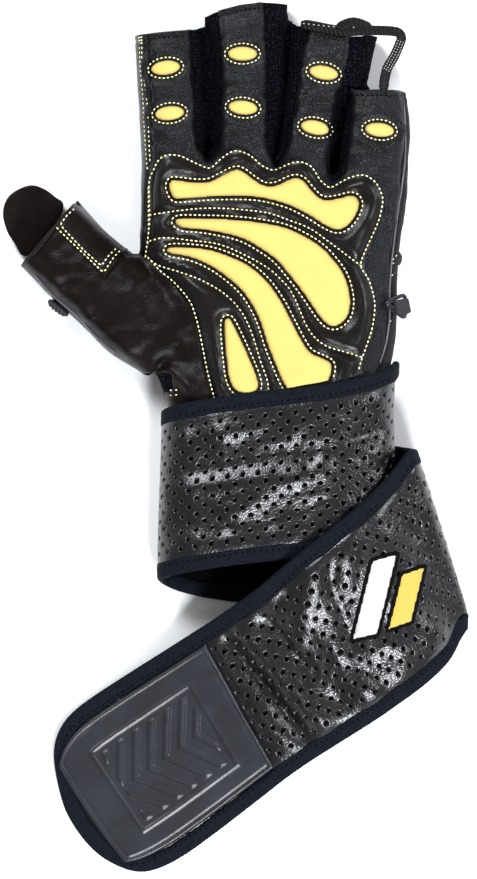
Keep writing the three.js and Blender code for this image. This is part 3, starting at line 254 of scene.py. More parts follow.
def linear(colour: int) -> tuple[float, float, float, float]:
    """An sRGB hex colour as linear red, green, blue and alpha."""
    parts = [((colour >> shift) & 255) / 255 for shift in (16, 8, 0)]
    return (*(c / 12.92 if c <= 0.04045 else ((c + 0.055) / 1.055) ** 2.4 for c in parts), 1.0)


class Relief(Enum):
    """The small surface relief of a finish."""

    GRAIN = "grain"
    KNIT = "knit"
    RIBS = "ribs"
    WEAVE = "weave"
    FINE = "fine"
    NONE = "none"


@dataclass(frozen=True)
class Finish:
    """A material and how its surface was made, or a flat colour that stands for painted shade."""

    name: str
    colour: int
    roughness: float
    relief: Relief = Relief.NONE
    relief_size: float = 0.8
    relief_height: float = 0.1
    second: int | None = None
    patch_size: float = 18.0
    specular: float = 0.5
    sheen: float = 0.0
    sheen_colour: int = 0xFFFFFF
    coat: float = 0.0

    def material(self) -> bpy.types.Material:
        """The finish as a Blender material, made once.

        Returns:
            The material.
        """
        known = bpy.data.materials.get(self.name)
        if known:
            return known
        made = bpy.data.materials.new(self.name)
        made.use_nodes = True
        tree = made.node_tree
        shader = tree.nodes["Principled BSDF"]
        shader.inputs["Roughness"].default_value = self.roughness
        shader.inputs["Specular IOR Level"].default_value = self.specular
        shader.inputs["Sheen Weight"].default_value = self.sheen
        shader.inputs["Sheen Tint"].default_value = linear(self.sheen_colour)
        shader.inputs["Sheen Roughness"].default_value = 0.4
        shader.inputs["Coat Weight"].default_value = self.coat
        shader.inputs["Coat Roughness"].default_value = 0.3
        place = add_node(tree, "ShaderNodeTexCoord")
        source = place.outputs["UV" if self.relief in (Relief.RIBS, Relief.WEAVE) else "Object"]
        if self.second is None:
            shader.inputs["Base Color"].default_value = linear(self.colour)
        else:
            tree.links.new(self._colour(tree, place.outputs["Object"]), shader.inputs["Base Color"])
        if self.relief is not Relief.NONE:
            height = self._relief(tree, source)
            bump = add_node(tree, "ShaderNodeBump",
                            {"Height": height, "Distance": self.relief_height / 1000, "Strength": 1.0})
            tree.links.new(bump.outputs["Normal"], shader.inputs["Normal"])
        return made

    def _colour(self, tree: bpy.types.NodeTree, place: bpy.types.NodeSocket) -> bpy.types.NodeSocket:
        """Blends the two colours: as painted highlights on the loops for a knit, in soft patches for all
        else.

        Args:
            tree: the material's nodes.
            place: where the pattern is read.

        Returns:
            The colour's socket.
        """
        if self.relief is Relief.KNIT:
            cells = add_node(tree, "ShaderNodeTexVoronoi",
                             {"Vector": place, "Scale": 1000 / self.relief_size, "Randomness": 0.55})
            # Lighter colour at each loop's middle is a painted highlight; the near-black between the loops is
            # painted shade.
            share, low, high = cells.outputs["Distance"], 0.42, 0.12
        else:
            cloud = add_node(tree, "ShaderNodeTexNoise",
                             {"Vector": place, "Scale": 1000 / self.patch_size, "Detail": 4.0,
                              "Roughness": 0.65})
            share, low, high = cloud.outputs["Fac"], 0.4, 0.62
        span = add_node(tree, "ShaderNodeMapRange", {"Value": share, "From Min": low, "From Max": high})
        ramp = add_node(tree, "ShaderNodeValToRGB", {"Fac": span.outputs["Result"]})
        ramp.color_ramp.elements[0].color = linear(self.colour)
        ramp.color_ramp.elements[1].color = linear(self.second or self.colour)
        return ramp.outputs["Color"]

    def _relief(self, tree: bpy.types.NodeTree, place: bpy.types.NodeSocket) -> bpy.types.NodeSocket:
        """The height that drives the bump.

        Args:
            tree: the material's nodes.
            place: where the pattern is read.

        Returns:
            The height's socket.
        """
        scale = 1000 / self.relief_size
        if self.relief is Relief.GRAIN:
            cells = add_node(tree, "ShaderNodeTexVoronoi", {"Vector": place, "Scale": scale},
                             feature="DISTANCE_TO_EDGE")
            rough = add_node(tree, "ShaderNodeTexNoise",
                             {"Vector": place, "Scale": scale / 3, "Detail": 6.0, "Roughness": 0.6})
            edge = add_node(tree, "ShaderNodeMath", {0: cells.outputs["Distance"], 1: 0.25},
                            operation="MINIMUM")
            total = add_node(tree, "ShaderNodeMath", {0: edge.outputs[0], 1: rough.outputs["Fac"]},
                             operation="ADD")
            return total.outputs[0]
        if self.relief is Relief.KNIT:
            dots = add_node(tree, "ShaderNodeTexVoronoi",
                            {"Vector": place, "Scale": scale, "Randomness": 0.55})
            return add_node(tree, "ShaderNodeMath", {0: 1.0, 1: dots.outputs["Distance"]},
                            operation="SUBTRACT").outputs[0]
        if self.relief in (Relief.RIBS, Relief.WEAVE):
            ribs = add_node(tree, "ShaderNodeTexWave",
                            {"Vector": place, "Scale": math.pi / self.relief_size / 10, "Distortion": 0.6,
                             "Detail": 2.0},
                            bands_direction="X" if self.relief is Relief.RIBS else "DIAGONAL")
            return ribs.outputs["Fac"]
        return add_node(tree, "ShaderNodeTexNoise",
                        {"Vector": place, "Scale": scale, "Detail": 4.0, "Roughness": 0.6}).outputs["Fac"]


# Goat leather, drum dyed black: soft grey sheen on every fold, fine pebbled grain.
PALM_LEATHER = Finish("drum_dyed_goat_leather", 0x0E0E10, 0.33, Relief.GRAIN, 0.9, 0.3, 0x16161A, 12, 0.16)
# Smooth split leather of the reinforcement, a little brown, satin on its padded channels.
OVERLAY_LEATHER = Finish("smooth_reinforcement_leather", 0x0F0C0B, 0.3, Relief.GRAIN, 0.8, 0.1, 0x151110, 30,
                         0.22)
# Oiled brown-black leather of the thumb: the warmest and darkest, with low satin glints.
THUMB_LEATHER = Finish("oiled_thumb_leather", 0x0E0907, 0.32, Relief.GRAIN, 0.8, 0.16, 0x15100E, 20, 0.11)
# Dense microfibre over foam: even pale yellow, almost without shine.
PAD_SKIN = Finish("pale_yellow_microfibre", 0xCEB566, 0.75, Relief.FINE, 0.5, 0.03, specular=0.2)
# Elastic knit: blue-black, with painted highlights on its small loops and painted shade between them.
KNIT = Finish("elastic_knit", 0x030305, 0.95, Relief.KNIT, 1.25, 0.6, 0x1E1E2E, specular=0.05)
# Stretch cloth of the back, plain black.
BACK_CLOTH = Finish("stretch_back_cloth", 0x101012, 0.85, Relief.KNIT, 0.8, 0.15, specular=0.3)
# Near-black matt colour on the wrap's underside and in its holes: painted shade, where the band lies in
# shadow.
SHADE_BLACK = Finish("black_wrap_lining", 0x050506, 1.0, specular=0.05)
# Polyester sewing thread: bright yellow-white strands.
THREAD = Finish("yellow_polyester_thread", 0xF3EA92, 0.5, second=0xFFFCE0, patch_size=2)
DARK_THREAD = Finish("black_polyester_thread", 0x040405, 0.8, specular=0.08)
WHITE_THREAD = Finish("white_polyester_thread", 0xCFCFCB, 0.55, Relief.RIBS, 0.5, 0.2)
YELLOW_THREAD = Finish("yellow_satin_stitch", 0xD2B64E, 0.5, Relief.RIBS, 0.5, 0.2)
# Embossed, glossy leather of the wrap: crumpled highlights between the holes.
BAND_LEATHER = Finish("glossy_perforated_leather", 0x080709, 0.3, Relief.GRAIN, 1.5, 0.2, 0x0E0D10, 12, 0.58)
# Bias tape round the wrap, dark navy, with the faint speckle of its weave.
BINDING_TAPE = Finish("navy_bias_tape", 0x0A0E15, 0.9, Relief.FINE, 0.6, 0.3, 0x10151D, 1.4, 0.1)
# Moulded rubber, dark grey and matt.
PATCH_RUBBER = Finish("moulded_grey_rubber", 0x212227, 0.33, Relief.FINE, 0.35, 0.04, 0x27282E, 20, 0.37)
BLACK_RUBBER = Finish("black_tag_rubber", 0x101012, 0.6, Relief.FINE, 0.4, 0.05)
# Injection moulded nylon of the ring: black with grey edges where light catches.
RING_NYLON = Finish("moulded_black_nylon", 0x1A1A1C, 0.3)
WEBBING_CLOTH = Finish("dark_woven_webbing", 0x1C1C20, 0.8, Relief.WEAVE, 0.8, 0.4)
LACE_CLOTH = Finish("black_woven_lace", 0x050506, 0.6, Relief.WEAVE, 0.9, 0.4, specular=0.25)
PIPING_LEATHER = Finish("grey_edge_piping", 0x55555C, 0.35)
FLOOR_PAPER = Finish("white_studio_paper", 0xFFFFFF, 0.9, specular=0.05)


def build(bm: bmesh.types.BMesh, name: str, finish: Finish, nodes: Sequence[str] = (),
          smooth: bool = True) -> bpy.types.Object:
    """Makes a piece of a mesh that is in the hand's own millimetres.

    Args:
        bm: the mesh, which is freed.
        name: the piece's name.
        finish: what it is made of.
        nodes: the CAD nodes that it stands for.
        smooth: whether its faces are shaded smooth.

    Returns:
        The piece, riding on the root.
    """
    bm.transform(TO_FRAME)
    for face in bm.faces:
        face.smooth = smooth
    mesh = bpy.data.meshes.new(name)
    bm.to_mesh(mesh)
    bm.free()
    piece = bpy.data.objects.new(name, mesh)
    bpy.context.scene.collection.objects.link(piece)
    mesh.materials.append(finish.material())
    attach(piece, "root")
    if nodes:
        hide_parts(*nodes)
    LOG.info("%s: %d faces", name, len(mesh.polygons))
    return piece


def add_modifier(piece: bpy.types.Object, kind: str, **settings) -> bpy.types.Modifier:
    """Adds a modifier with its settings."""
    made = piece.modifiers.new(kind.title(), kind)
    for key, value in settings.items():
        setattr(made, key, value)
    return made


def thicken(piece: bpy.types.Object, thickness: float, bend: float = 0.0) -> None:
    """Gives a sheet its thickness in millimetres, behind its faces, with soft edges where bend is given."""
    add_modifier(piece, "SOLIDIFY", thickness=thickness / 1000, offset=-1.0, use_even_offset=False,
                 use_quality_normals=True)
    if bend:
        add_modifier(piece, "BEVEL", width=bend / 1000, segments=2, limit_method="ANGLE",
                     angle_limit=math.radians(50))


def join_into(bm: bmesh.types.BMesh, other: bmesh.types.BMesh) -> None:
    """Adds another mesh to a mesh, and frees the other."""
    mesh = bpy.data.meshes.new("joined")
    other.to_mesh(mesh)
    other.free()
    bm.from_mesh(mesh)
    bpy.data.meshes.remove(mesh)


def all_geometry(bm: bmesh.types.BMesh) -> list:
    """Every vertex, edge and face."""
    return [*bm.verts, *bm.edges, *bm.faces]


def flat_mesh(outline: np.ndarray, pitch: float) -> bmesh.types.BMesh:
    """A flat mesh with a given outline, cut into squares.

    Args:
        outline: the closed outline in plan.
        pitch: the squares' side in millimetres.

    Returns:
        The mesh, facing up.
    """
    bm = bmesh.new()
    bmesh.ops.create_circle(bm, cap_ends=True, segments=len(outline), radius=1.0)
    for vert, (x, y) in zip(list(bm.verts), outline):
        vert.co = (x, y, 0)
    for axis in (0, 1):
        low, high = outline[:, axis].min(), outline[:, axis].max()
        normal = Vector((1 - axis, axis, 0))
        for place in np.arange((math.floor(low / pitch) + 0.5) * pitch, high, pitch):
            bmesh.ops.bisect_plane(bm, geom=all_geometry(bm), dist=1e-3, plane_co=normal * place,
                                   plane_no=normal)
    bm.normal_update()
    down = [face for face in bm.faces if face.normal.z < 0]
    bmesh.ops.reverse_faces(bm, faces=down)
    return bm


def keep_largest(bm: bmesh.types.BMesh) -> None:
    """Drops every loose part of a mesh but the one with the most faces."""
    waiting, groups = set(bm.faces), []
    while waiting:
        group, edge = set(), [waiting.pop()]
        while edge:
            face = edge.pop()
            group.add(face)
            for other in (near for side in face.edges for near in side.link_faces):
                if other in waiting:
                    waiting.discard(other)
                    edge.append(other)
        groups.append(group)
    groups.sort(key=len)
    loose = [face for group in groups[:-1] for face in group]
    bmesh.ops.delete(bm, geom=loose, context="FACES")


def rounded(away: np.ndarray, width: float) -> np.ndarray:
    """A quarter round: 0 at an edge, 1 at a width from it and beyond."""
    share = np.clip(away / width, 0, 1)
    return np.sqrt(np.clip(1 - (1 - share) ** 2, 0, 1))


def map_plan(bm: bmesh.types.BMesh, slant: float = 0.0, turned: bool = False) -> None:
    """Gives a mesh a UV map in plan millimetres, with Y slanted along X where turned."""
    layer = bm.loops.layers.uv.new("UVMap")
    for face in bm.faces:
        for loop in face.loops:
            x, y = loop.vert.co[:2]
            loop[layer].uv = (y + slant * x, x) if turned else (x, y)


def plan_of(bm: bmesh.types.BMesh) -> np.ndarray:
    """The places of a mesh's vertices in plan."""
    return np.array([vert.co[:2] for vert in bm.verts])


def raise_to(bm: bmesh.types.BMesh, heights: np.ndarray) -> None:
    """Puts a mesh's vertices at given heights."""
    for vert, height in zip(bm.verts, heights):
        vert.co.z = height


def extruded_rings(rings: Sequence[np.ndarray], caps: bool = True, uv_step: float = 0.0) -> bmesh.types.BMesh:
    """A tube through rings of places, each ring extruded from the last.

    Args:
        rings: rings with the same number of places.
        caps: whether both ends are closed.
        uv_step: millimetres between rings, where the piece needs a UV map along its length.

    Returns:
        The tube, with its faces out.
    """
    bm = bmesh.new()
    made = bmesh.ops.create_circle(bm, cap_ends=False, segments=len(rings[0]), radius=1.0)
    current = list(made["verts"])
    for vert, place in zip(current, rings[0]):
        vert.co = place
    first = list(current)
    layer = bm.loops.layers.uv.new("UVMap") if uv_step else None
    count = len(current)
    for number, ring in enumerate(rings[1:]):
        edges = [bm.edges.get((current[i], current[(i + 1) % count])) for i in range(count)]
        grown = bmesh.ops.extrude_edge_only(bm, edges=edges)["geom"]
        held = {vert: i for i, vert in enumerate(current)}
        following: list = [None] * count
        for vert in (item for item in grown if isinstance(item, bmesh.types.BMVert)):
            for edge in vert.link_edges:
                other = edge.other_vert(vert)
                if other in held:
                    following[held[other]] = vert
        if layer:
            rank = {vert: (i, number) for vert, i in held.items()}
            rank.update({vert: (i, number + 1) for i, vert in enumerate(following)})
            for face in {face for vert in following for face in vert.link_faces}:
                places = [rank[loop.vert] for loop in face.loops]
                turned = max(p[0] for p in places) - min(p[0] for p in places) > 1
                for loop, (i, j) in zip(face.loops, places):
                    loop[layer].uv = (j * uv_step, (count if turned and i == 0 else i) * 1.0)
        for vert, place in zip(following, ring):
            vert.co = place
        current = following
    if caps:
        for ends in (first, current):
            bmesh.ops.contextual_create(bm, geom=ends)
    bmesh.ops.recalc_face_normals(bm, faces=bm.faces)
    return bm


# The hand's form

# Columns: v, left, right, deep, lift, drop.
PALM_ROWS = np.array([
    (-0.85, 0.1, 0.945, 0.84, 1, 0),
    (-0.55, 0.1, 0.945, 0.86, 1, 0),
    (-0.25, 0.11, 0.935, 0.9, 1, 0),
    (0, 0.115, 0.925, 0.93, 1, 0),
    (0.08, 0.095, 0.928, 0.945, 1, 0),
    (0.15, 0.07, 0.935, 0.96, 0.6, 0),
    (0.3, 0.06, 0.96, 1, 0, 0),
    (0.45, 0.045, 0.963, 1, 0, 0),
    (0.63, 0.01, 0.97, 0.98, 0, 0),
    (0.8, 0.012, 0.985, 0.96, 0, 0.03),
    (0.96, 0.014, 0.997, 0.92, 0, 0.07),
    (1.04, 0.04, 0.975, 0.8, 0, 0.11),
])
# Columns: u, v, reach, depth.
PALM_HOLLOWS = ((0.47, 0.5, 0.9, 0.07), (0.3, 0.22, 0.55, 0.05), (0.55, 0.76, 0.5, 0.04))


@dataclass(frozen=True)
class Section:
    """One cross-section of the hand: flat below, arched above."""

    left: float
    right: float
    low: float
    high: float
    drop: float = 0.0

    def grown(self, by: float) -> "Section":
        """The section made larger all round."""
        return Section(self.left - by, self.right + by, self.low - by, self.high + by, self.drop)

    def point(self, angle: float) -> tuple[float, float, float]:
        """A place on the section: across, up and the share across.

        Args:
            angle: the turn round the section, from its right side.

        Returns:
            The place.
        """
        cos, sin = math.cos(angle), math.sin(angle)
        power = 2 / (ARCH_POWER if sin >= 0 else FLAT_POWER)
        across = math.copysign(abs(cos) ** power, cos)
        up = sin ** power if sin >= 0 else min(FLAT_REACH * abs(sin) ** power, 1)
        waist = self.low + WAIST_SHARE * (self.high - self.low)
        rise = (self.high if sin >= 0 else self.low) - waist
        centre, half = (self.left + self.right) / 2, (self.right - self.left) / 2
        return centre + half * across, waist + rise * up, (across + 1) / 2

    def ring(self, sides: int) -> list[tuple[float, float, float]]:
        """Places all round the section."""
        return [self.point(2 * math.pi * i / sides) for i in range(sides)]


def palm_section(v: float) -> Section:
    """The palm's section at a share of its length."""
    _, left, right, deep, lift, drop = row_at(PALM_ROWS, v)
    low = max(lift, 0) * WRIST_LIFT
    return Section(left * PALM_WIDTH, right * PALM_WIDTH, low, low + deep * PALM_DEPTH,
                   max(drop, 0) * PALM_LENGTH)


@dataclass(frozen=True)
class Finger:
    """A half finger: its root in shares of the palm, its lean in degrees and its rows.

    Columns of the rows: along, left, right, seam_left, seam_right, deep.
    """

    root: tuple[float, float]
    lean: float
    length: float
    width: float
    rows: np.ndarray

    def at(self, along: float, aside: float, up: float = 0.0) -> Vector:
        """A place by its distance along the finger and aside of its axis, in millimetres."""
        lean = math.radians(self.lean)
        x = self.root[0] * PALM_WIDTH + along * math.sin(lean) + aside * math.cos(lean)
        y = self.root[1] * PALM_LENGTH + along * math.cos(lean) - aside * math.sin(lean)
        return Vector((x, y, up))

    def ring(self, share: float, sides: int) -> np.ndarray:
        """The finger's outside at a share of its length."""
        _, left, right, _, _, deep = row_at(self.rows, min(share, 1.0))
        section = Section(-left * self.width, right * self.width, 0, deep * FINGER_DEPTH)
        return np.array([self.at(share * self.length, across, up) for across, up, _ in section.ring(sides)])

    def seam(self, column: int, sign: int) -> np.ndarray:
        """The leather's edge in plan, from the root to past the hem."""
        shares = (0.12, 0.35, 0.6, 0.85, 1.12)
        reach = [sign * row_at(self.rows, min(share, 1.0))[column] * self.width for share in shares]
        return np.array([self.at(share * self.length, aside)[:2] for share, aside in zip(shares, reach)])


FINGERS = {
    "index": Finger((0.138, 1), -2.4, 54, 27.8, np.array([
        (-0.35, 0.47, 0.46, 0.38, 0.5, 0.96),
        (0, 0.48, 0.48, 0.34, 0.46, 0.98),
        (0.16, 0.48, 0.48, 0.31, 0.32, 0.96),
        (0.6, 0.49, 0.485, 0.3, 0.33, 0.92),
        (1, 0.5, 0.49, 0.3, 0.31, 0.88),
    ])),
    "middle": Finger((0.391, 1), 1.4, 63, 33, np.array([
        (-0.32, 0.44, 0.44, 0.42, 0.42, 0.98),
        (0, 0.4, 0.43, 0.38, 0.37, 1),
        (0.15, 0.42, 0.45, 0.28, 0.27, 0.98),
        (0.5, 0.46, 0.475, 0.285, 0.275, 0.94),
        (0.85, 0.49, 0.505, 0.32, 0.23, 0.9),
        (1, 0.5, 0.5, 0.38, 0.2, 0.88),
    ])),
    "ring": Finger((0.621, 0.98), 12.2, 56, 34.5, np.array([
        (-0.32, 0.37, 0.36, 0.3, 0.33, 0.98),
        (0, 0.33, 0.3, 0.27, 0.28, 1),
        (0.25, 0.375, 0.275, 0.26, 0.215, 0.98),
        (0.55, 0.43, 0.255, 0.285, 0.195, 0.94),
        (0.63, 0.44, 0.31, 0.29, 0.2, 0.93),
        (0.675, 0.445, 0.49, 0.295, 0.2, 0.925),
        (0.86, 0.475, 0.49, 0.32, 0.21, 0.9),
        (1, 0.5, 0.5, 0.3, 0.17, 0.88),
    ])),
    "little": Finger((0.865, 0.92), 4, 38, 30, np.array([
        (-0.4, 0.48, 0.48, 0.47, 0.41, 0.92),
        (0, 0.49, 0.5, 0.44, 0.42, 0.94),
        (0.3, 0.47, 0.485, 0.36, 0.43, 0.92),
        (0.6, 0.425, 0.48, 0.345, 0.42, 0.9),
        (1, 0.39, 0.4, 0.34, 0.35, 0.84),
    ])),
}
# Columns: along, upper, lower, deep.
THUMB_ROWS = np.array([
    (0, 0.49, 0.48, 0.9),
    (0.17, 0.46, 0.53, 0.96),
    (0.35, 0.44, 0.565, 1),
    (0.52, 0.45, 0.59, 1.04),
    (0.72, 0.45, 0.635, 1.04),
    (1, 0.36, 0.58, 1),
])
THUMB_MOUTH = (-0.327 * PALM_WIDTH, 0.71 * PALM_LENGTH)


def thumb_at(along: float, across: float, up: float = 0.0) -> Vector:
    """A place by its distance in from the thumb's mouth and across towards the wrist, in millimetres."""
    sin, cos = math.sin(THUMB_TURN), math.cos(THUMB_TURN)
    x = THUMB_MOUTH[0] + along * sin - across * cos
    y = THUMB_MOUTH[1] - along * cos - across * sin
    return Vector((x, y, up))


def of_palm(shares: Iterable[tuple[float, float]]) -> np.ndarray:
    """Shares of the palm as places in plan."""
    return np.array([(u * PALM_WIDTH, v * PALM_LENGTH) for u, v in shares])


THUMB_SEAM = of_palm([(0, 0.64), (0.04, 0.62), (0.12, 0.535), (0.195, 0.44), (0.229, 0.33), (0.25, 0.2),
                      (0.29, 0.04), (0.31, -0.12), (0.31, -0.3)])
INDEX_SEAM = of_palm([(0.035, 0.9), (0.035, 0.79), (0.03, 0.68), (0.02, 0.64)])
OUTER_SEAM = of_palm([(0.981, 0.88), (0.96, 0.74), (0.943, 0.59), (0.937, 0.4), (0.922, 0.26), (0.9, 0.16),
                      (0.88, 0), (0.88, -0.3)])
CROTCHES = {"index_middle": (0.266, 1.02), "middle_ring": (0.518, 0.995), "ring_little": (0.724, 0.927)}
OVERLAY_EDGE = of_palm([
    (0.06, 0.635), (0.06, 0.8), (0.065, 0.94), (0.11, 1.045), (0.265, 0.985), (0.37, 1.06), (0.5, 0.98),
    (0.6, 1.01), (0.72, 0.905), (0.84, 0.96), (0.91, 0.87), (0.88, 0.71), (0.84, 0.6), (0.875, 0.47),
    (0.87, 0.31), (0.83, 0.19), (0.82, 0.08), (0.6, -0.02), (0.34, -0.02), (0.295, 0.1), (0.265, 0.3),
    (0.22, 0.44), (0.13, 0.56)])
# Closed outlines of the four palm pads, in plan steps.
PADS = {
    "pad_knuckle": [
        (169, 188), (171, 181), (178, 181), (198, 183), (210, 182), (222, 176), (234, 170.5), (242, 171.5),
        (253, 179.5), (264, 186), (276, 186), (288, 180.5), (296, 178.5), (303, 181), (311, 190), (319, 198),
        (327, 200.5), (340, 198.5), (350, 196), (357, 198), (359.5, 206), (354, 219), (345, 228), (336, 230),
        (324, 225), (308, 215), (290, 206), (270, 200), (250, 197), (215, 197), (185, 199), (174, 198.5)],
    "pad_crescent": [
        (175, 222.5), (179, 219), (200, 219), (230, 220), (260, 223), (285, 228), (305, 237), (322, 248),
        (336, 263), (345, 277), (350, 295), (350, 309), (346, 319), (337, 326), (328, 325), (319, 316),
        (306, 297), (294, 281), (277, 261), (260, 248.5), (240, 238), (215, 232), (198, 229.5), (182, 228)],
    "pad_arch": [
        (166.5, 251), (171, 247.5), (190, 248), (210, 250.5), (230, 257), (250, 267), (268, 283), (282, 303),
        (292, 322), (302, 341), (311, 353), (326, 360), (332, 366), (329, 380), (320, 400), (298, 404),
        (284, 384), (276, 366), (268, 346), (259, 319), (246, 296), (230, 280), (210, 266), (190, 257.5),
        (172, 254)],
    "pad_heel": [
        (224, 326), (225, 320), (228, 318.5), (232, 322), (241, 340), (250, 360), (257, 378), (258, 388),
        (253, 393.5), (243, 394.5), (234, 389), (229, 378), (226.5, 360), (224.5, 338)],
}
# Ovals: finger, centre in plan steps, turn in degrees.
OVALS = (
    ("index", (165.5, 68), 7),
    ("index", (169.5, 113.5), 6),
    ("middle", (242.5, 54), 0),
    ("middle", (243, 108), -5),
    ("ring", (324, 73), -10),
    ("ring", (315.5, 128), -10),
    ("little", (380, 130), -6),
)
OVAL_HALF = (5.8, 2.8)
OVAL_STITCH = (7.1, 4.1)
BORDER = plan([
    (145, 256), (149, 225), (149, 200), (149, 181), (153, 171), (159, 160), (168, 155.5), (180, 156.5),
    (190, 161), (200, 165.5), (210, 168.5), (220, 160), (230, 153), (238, 151.5), (250, 156), (262, 166),
    (273, 170.5), (281, 168), (290, 164), (298, 162.5), (306, 164), (313, 169), (320, 180), (325, 185),
    (331, 188), (342, 182), (350, 178), (364, 175.5), (376, 183), (382, 195), (383, 202), (380, 218),
    (373, 235), (366, 250), (361, 266), (369, 280), (374, 297), (375, 310), (372, 330), (366, 348),
    (361, 362), (358, 374)])
DIVIDERS = [plan(row) for row in (
    [(150, 215), (175, 211.5), (200, 209), (225, 209), (250, 211), (270, 214), (290, 221), (310, 229),
     (330, 243), (350, 258), (361, 266)],
    [(150, 241), (165, 238), (192, 241), (220, 245), (250, 258), (270, 270), (281, 280), (290, 290),
     (298, 306), (306, 325), (315, 338), (328, 347), (348, 353), (361, 357)],
    [(148, 258), (158, 265.5), (180, 272.5), (200, 280), (220, 291), (235, 304), (246, 320), (254, 340),
     (260, 360), (267, 380), (269, 395)])]
THUMB_STITCH = plan([(148, 258), (160, 271), (170, 279), (180, 289), (190, 302), (195, 315), (199, 330),
                     (203, 350), (207, 370), (212, 390), (216, 404)])
INDEX_STITCHES = [plan(row) for row in (
    [(139, 43), (139.5, 60), (141, 80), (142.5, 95), (143, 110), (144, 128), (145.5, 150), (147, 168)],
    [(142, 43), (141.5, 58), (144, 80), (146.3, 97), (147.6, 115), (148.6, 138), (149.6, 160)])]
THREAD_KNOT = [plan(row) for row in (
    [(134, 38), (141, 37)], [(134.5, 40.5), (141, 40)], [(135, 43), (141, 43)])]
SIDE_STITCHES = [plan(row) for row in ([(148, 188), (148, 215), (148, 240), (145, 256)],)]
CUFF_EDGE = plan([(150, 413), (166, 410), (200, 403.5), (250, 396), (289, 389.5), (330, 379), (370, 367),
                  (391, 361), (410, 354)])
# Hems of the fingers and of the thumb, from one side to the other, in plan steps.
HEMS = {
    "index": [(133, 35), (168, 31.5), (204, 29)],
    "middle": [(203, 17), (220, 10), (240, 5), (262, 2.5), (290, 3.5)],
    "ring": [(290, 24), (308, 27.5), (330, 33), (350, 36.5), (379, 35.5)],
    "little": [(341, 89.5), (375, 89.5), (409, 90)],
}
THUMB_HEM = [(20, 264), (75, 200)]
# Deep valleys between the fingers: their course, width and depth in millimetres.
VALLEYS = (
    ([(207, 34), (212, 80), (214, 120), (213, 148)], 2.3, 6.0),
    ([(289, 26), (287, 80), (281, 130), (278, 152)], 1.2, 4.0),
    ([(341, 92), (338, 120), (335, 150), (334, 172)], 1.2, 2.2),
)
# Soft folds of the hand's leather: across, down, across, down, width and height in millimetres.
HAND_FOLDS = (
    (150, 90, 192, 92, 3.0, 0.5), (150, 133, 193, 132, 3.0, 0.5), (152, 48, 188, 46, 3.5, 0.4),
    (224, 78, 262, 84, 3.5, 0.55), (224, 88, 264, 92, 2.0, -0.5), (222, 133, 264, 128, 3.0, 0.5),
    (224, 30, 262, 26, 3.5, 0.4), (226, 150, 258, 146, 4.0, 0.4), (298, 95, 342, 104, 3.0, 0.5),
    (303, 50, 346, 56, 3.0, 0.4), (292, 150, 330, 152, 3.0, 0.45), (300, 92, 340, 84, 1.4, -0.5),
    (296, 112, 332, 106, 1.4, -0.45), (352, 112, 404, 110, 4.0, 0.3),
    (348, 155, 404, 150, 3.0, 0.4), (345, 168, 402, 166, 2.0, -0.4), (156, 148, 200, 152, 4.0, 0.5),
    (30, 262, 60, 286, 2.2, 0.7), (60, 286, 90, 316, 2.6, 0.8), (90, 316, 128, 350, 3.2, 0.8),
    (128, 350, 150, 362, 3.0, 0.7), (100, 230, 124, 262, 5.0, -0.5), (120, 268, 150, 330, 7.0, 0.7),
    (150, 374, 172, 370, 2.0, 0.8), (170, 370, 190, 386, 2.4, 0.9), (186, 384, 202, 402, 2.4, 0.7),
    (150, 364, 185, 362, 3.0, -0.8), (214, 340, 224, 396, 3.0, 0.8), (385, 190, 399, 230, 3.0, 0.5),
    (380, 250, 392, 300, 3.5, 0.4), (168, 320, 190, 380, 5.0, 0.6), (155, 290, 182, 352, 4.0, -0.5),
)


def region_outlines() -> dict[str, np.ndarray]:
    """Plan outlines of the shell's pieces, by the node that each stands for.

    Returns:
        Each node's outline.
    """
    index, little = FINGERS["index"], FINGERS["little"]
    far_left, far_right = -PALM_WIDTH, 2 * PALM_WIDTH

    def edge(seam: np.ndarray, x: float) -> np.ndarray:
        """The strip between a seam and a far side."""
        return np.vstack([seam, [x, seam[-1, 1]], [x, seam[0, 1]]])

    def gusset(before: str, after: str) -> np.ndarray:
        """The strip between two fingers."""
        crotch = of_palm([CROTCHES[f"{before}_{after}"]])
        found = np.vstack([FINGERS[before].seam(4, 1)[::-1], crotch, FINGERS[after].seam(3, -1)])
        if after == "little":
            found = np.vstack([found[:-1], [84.8, 129.2], [100, 129.2], [100, 160]])
        return found

    return {
        "thumb_leather": np.vstack([smooth_line(THUMB_SEAM, 2.0), [far_left, -30], [far_left, 100],
                                    [-4, 100], [-4, 66]]),
        "gusset_index_middle": gusset("index", "middle"),
        "gusset_middle_ring": gusset("middle", "ring"),
        "gusset_ring_little": gusset("ring", "little"),
        "index_side": edge(np.vstack([index.seam(3, -1)[::-1], INDEX_SEAM]), -4),
        "outer_side": edge(np.vstack([little.seam(4, 1)[::-1], OUTER_SEAM]), far_right),
    }


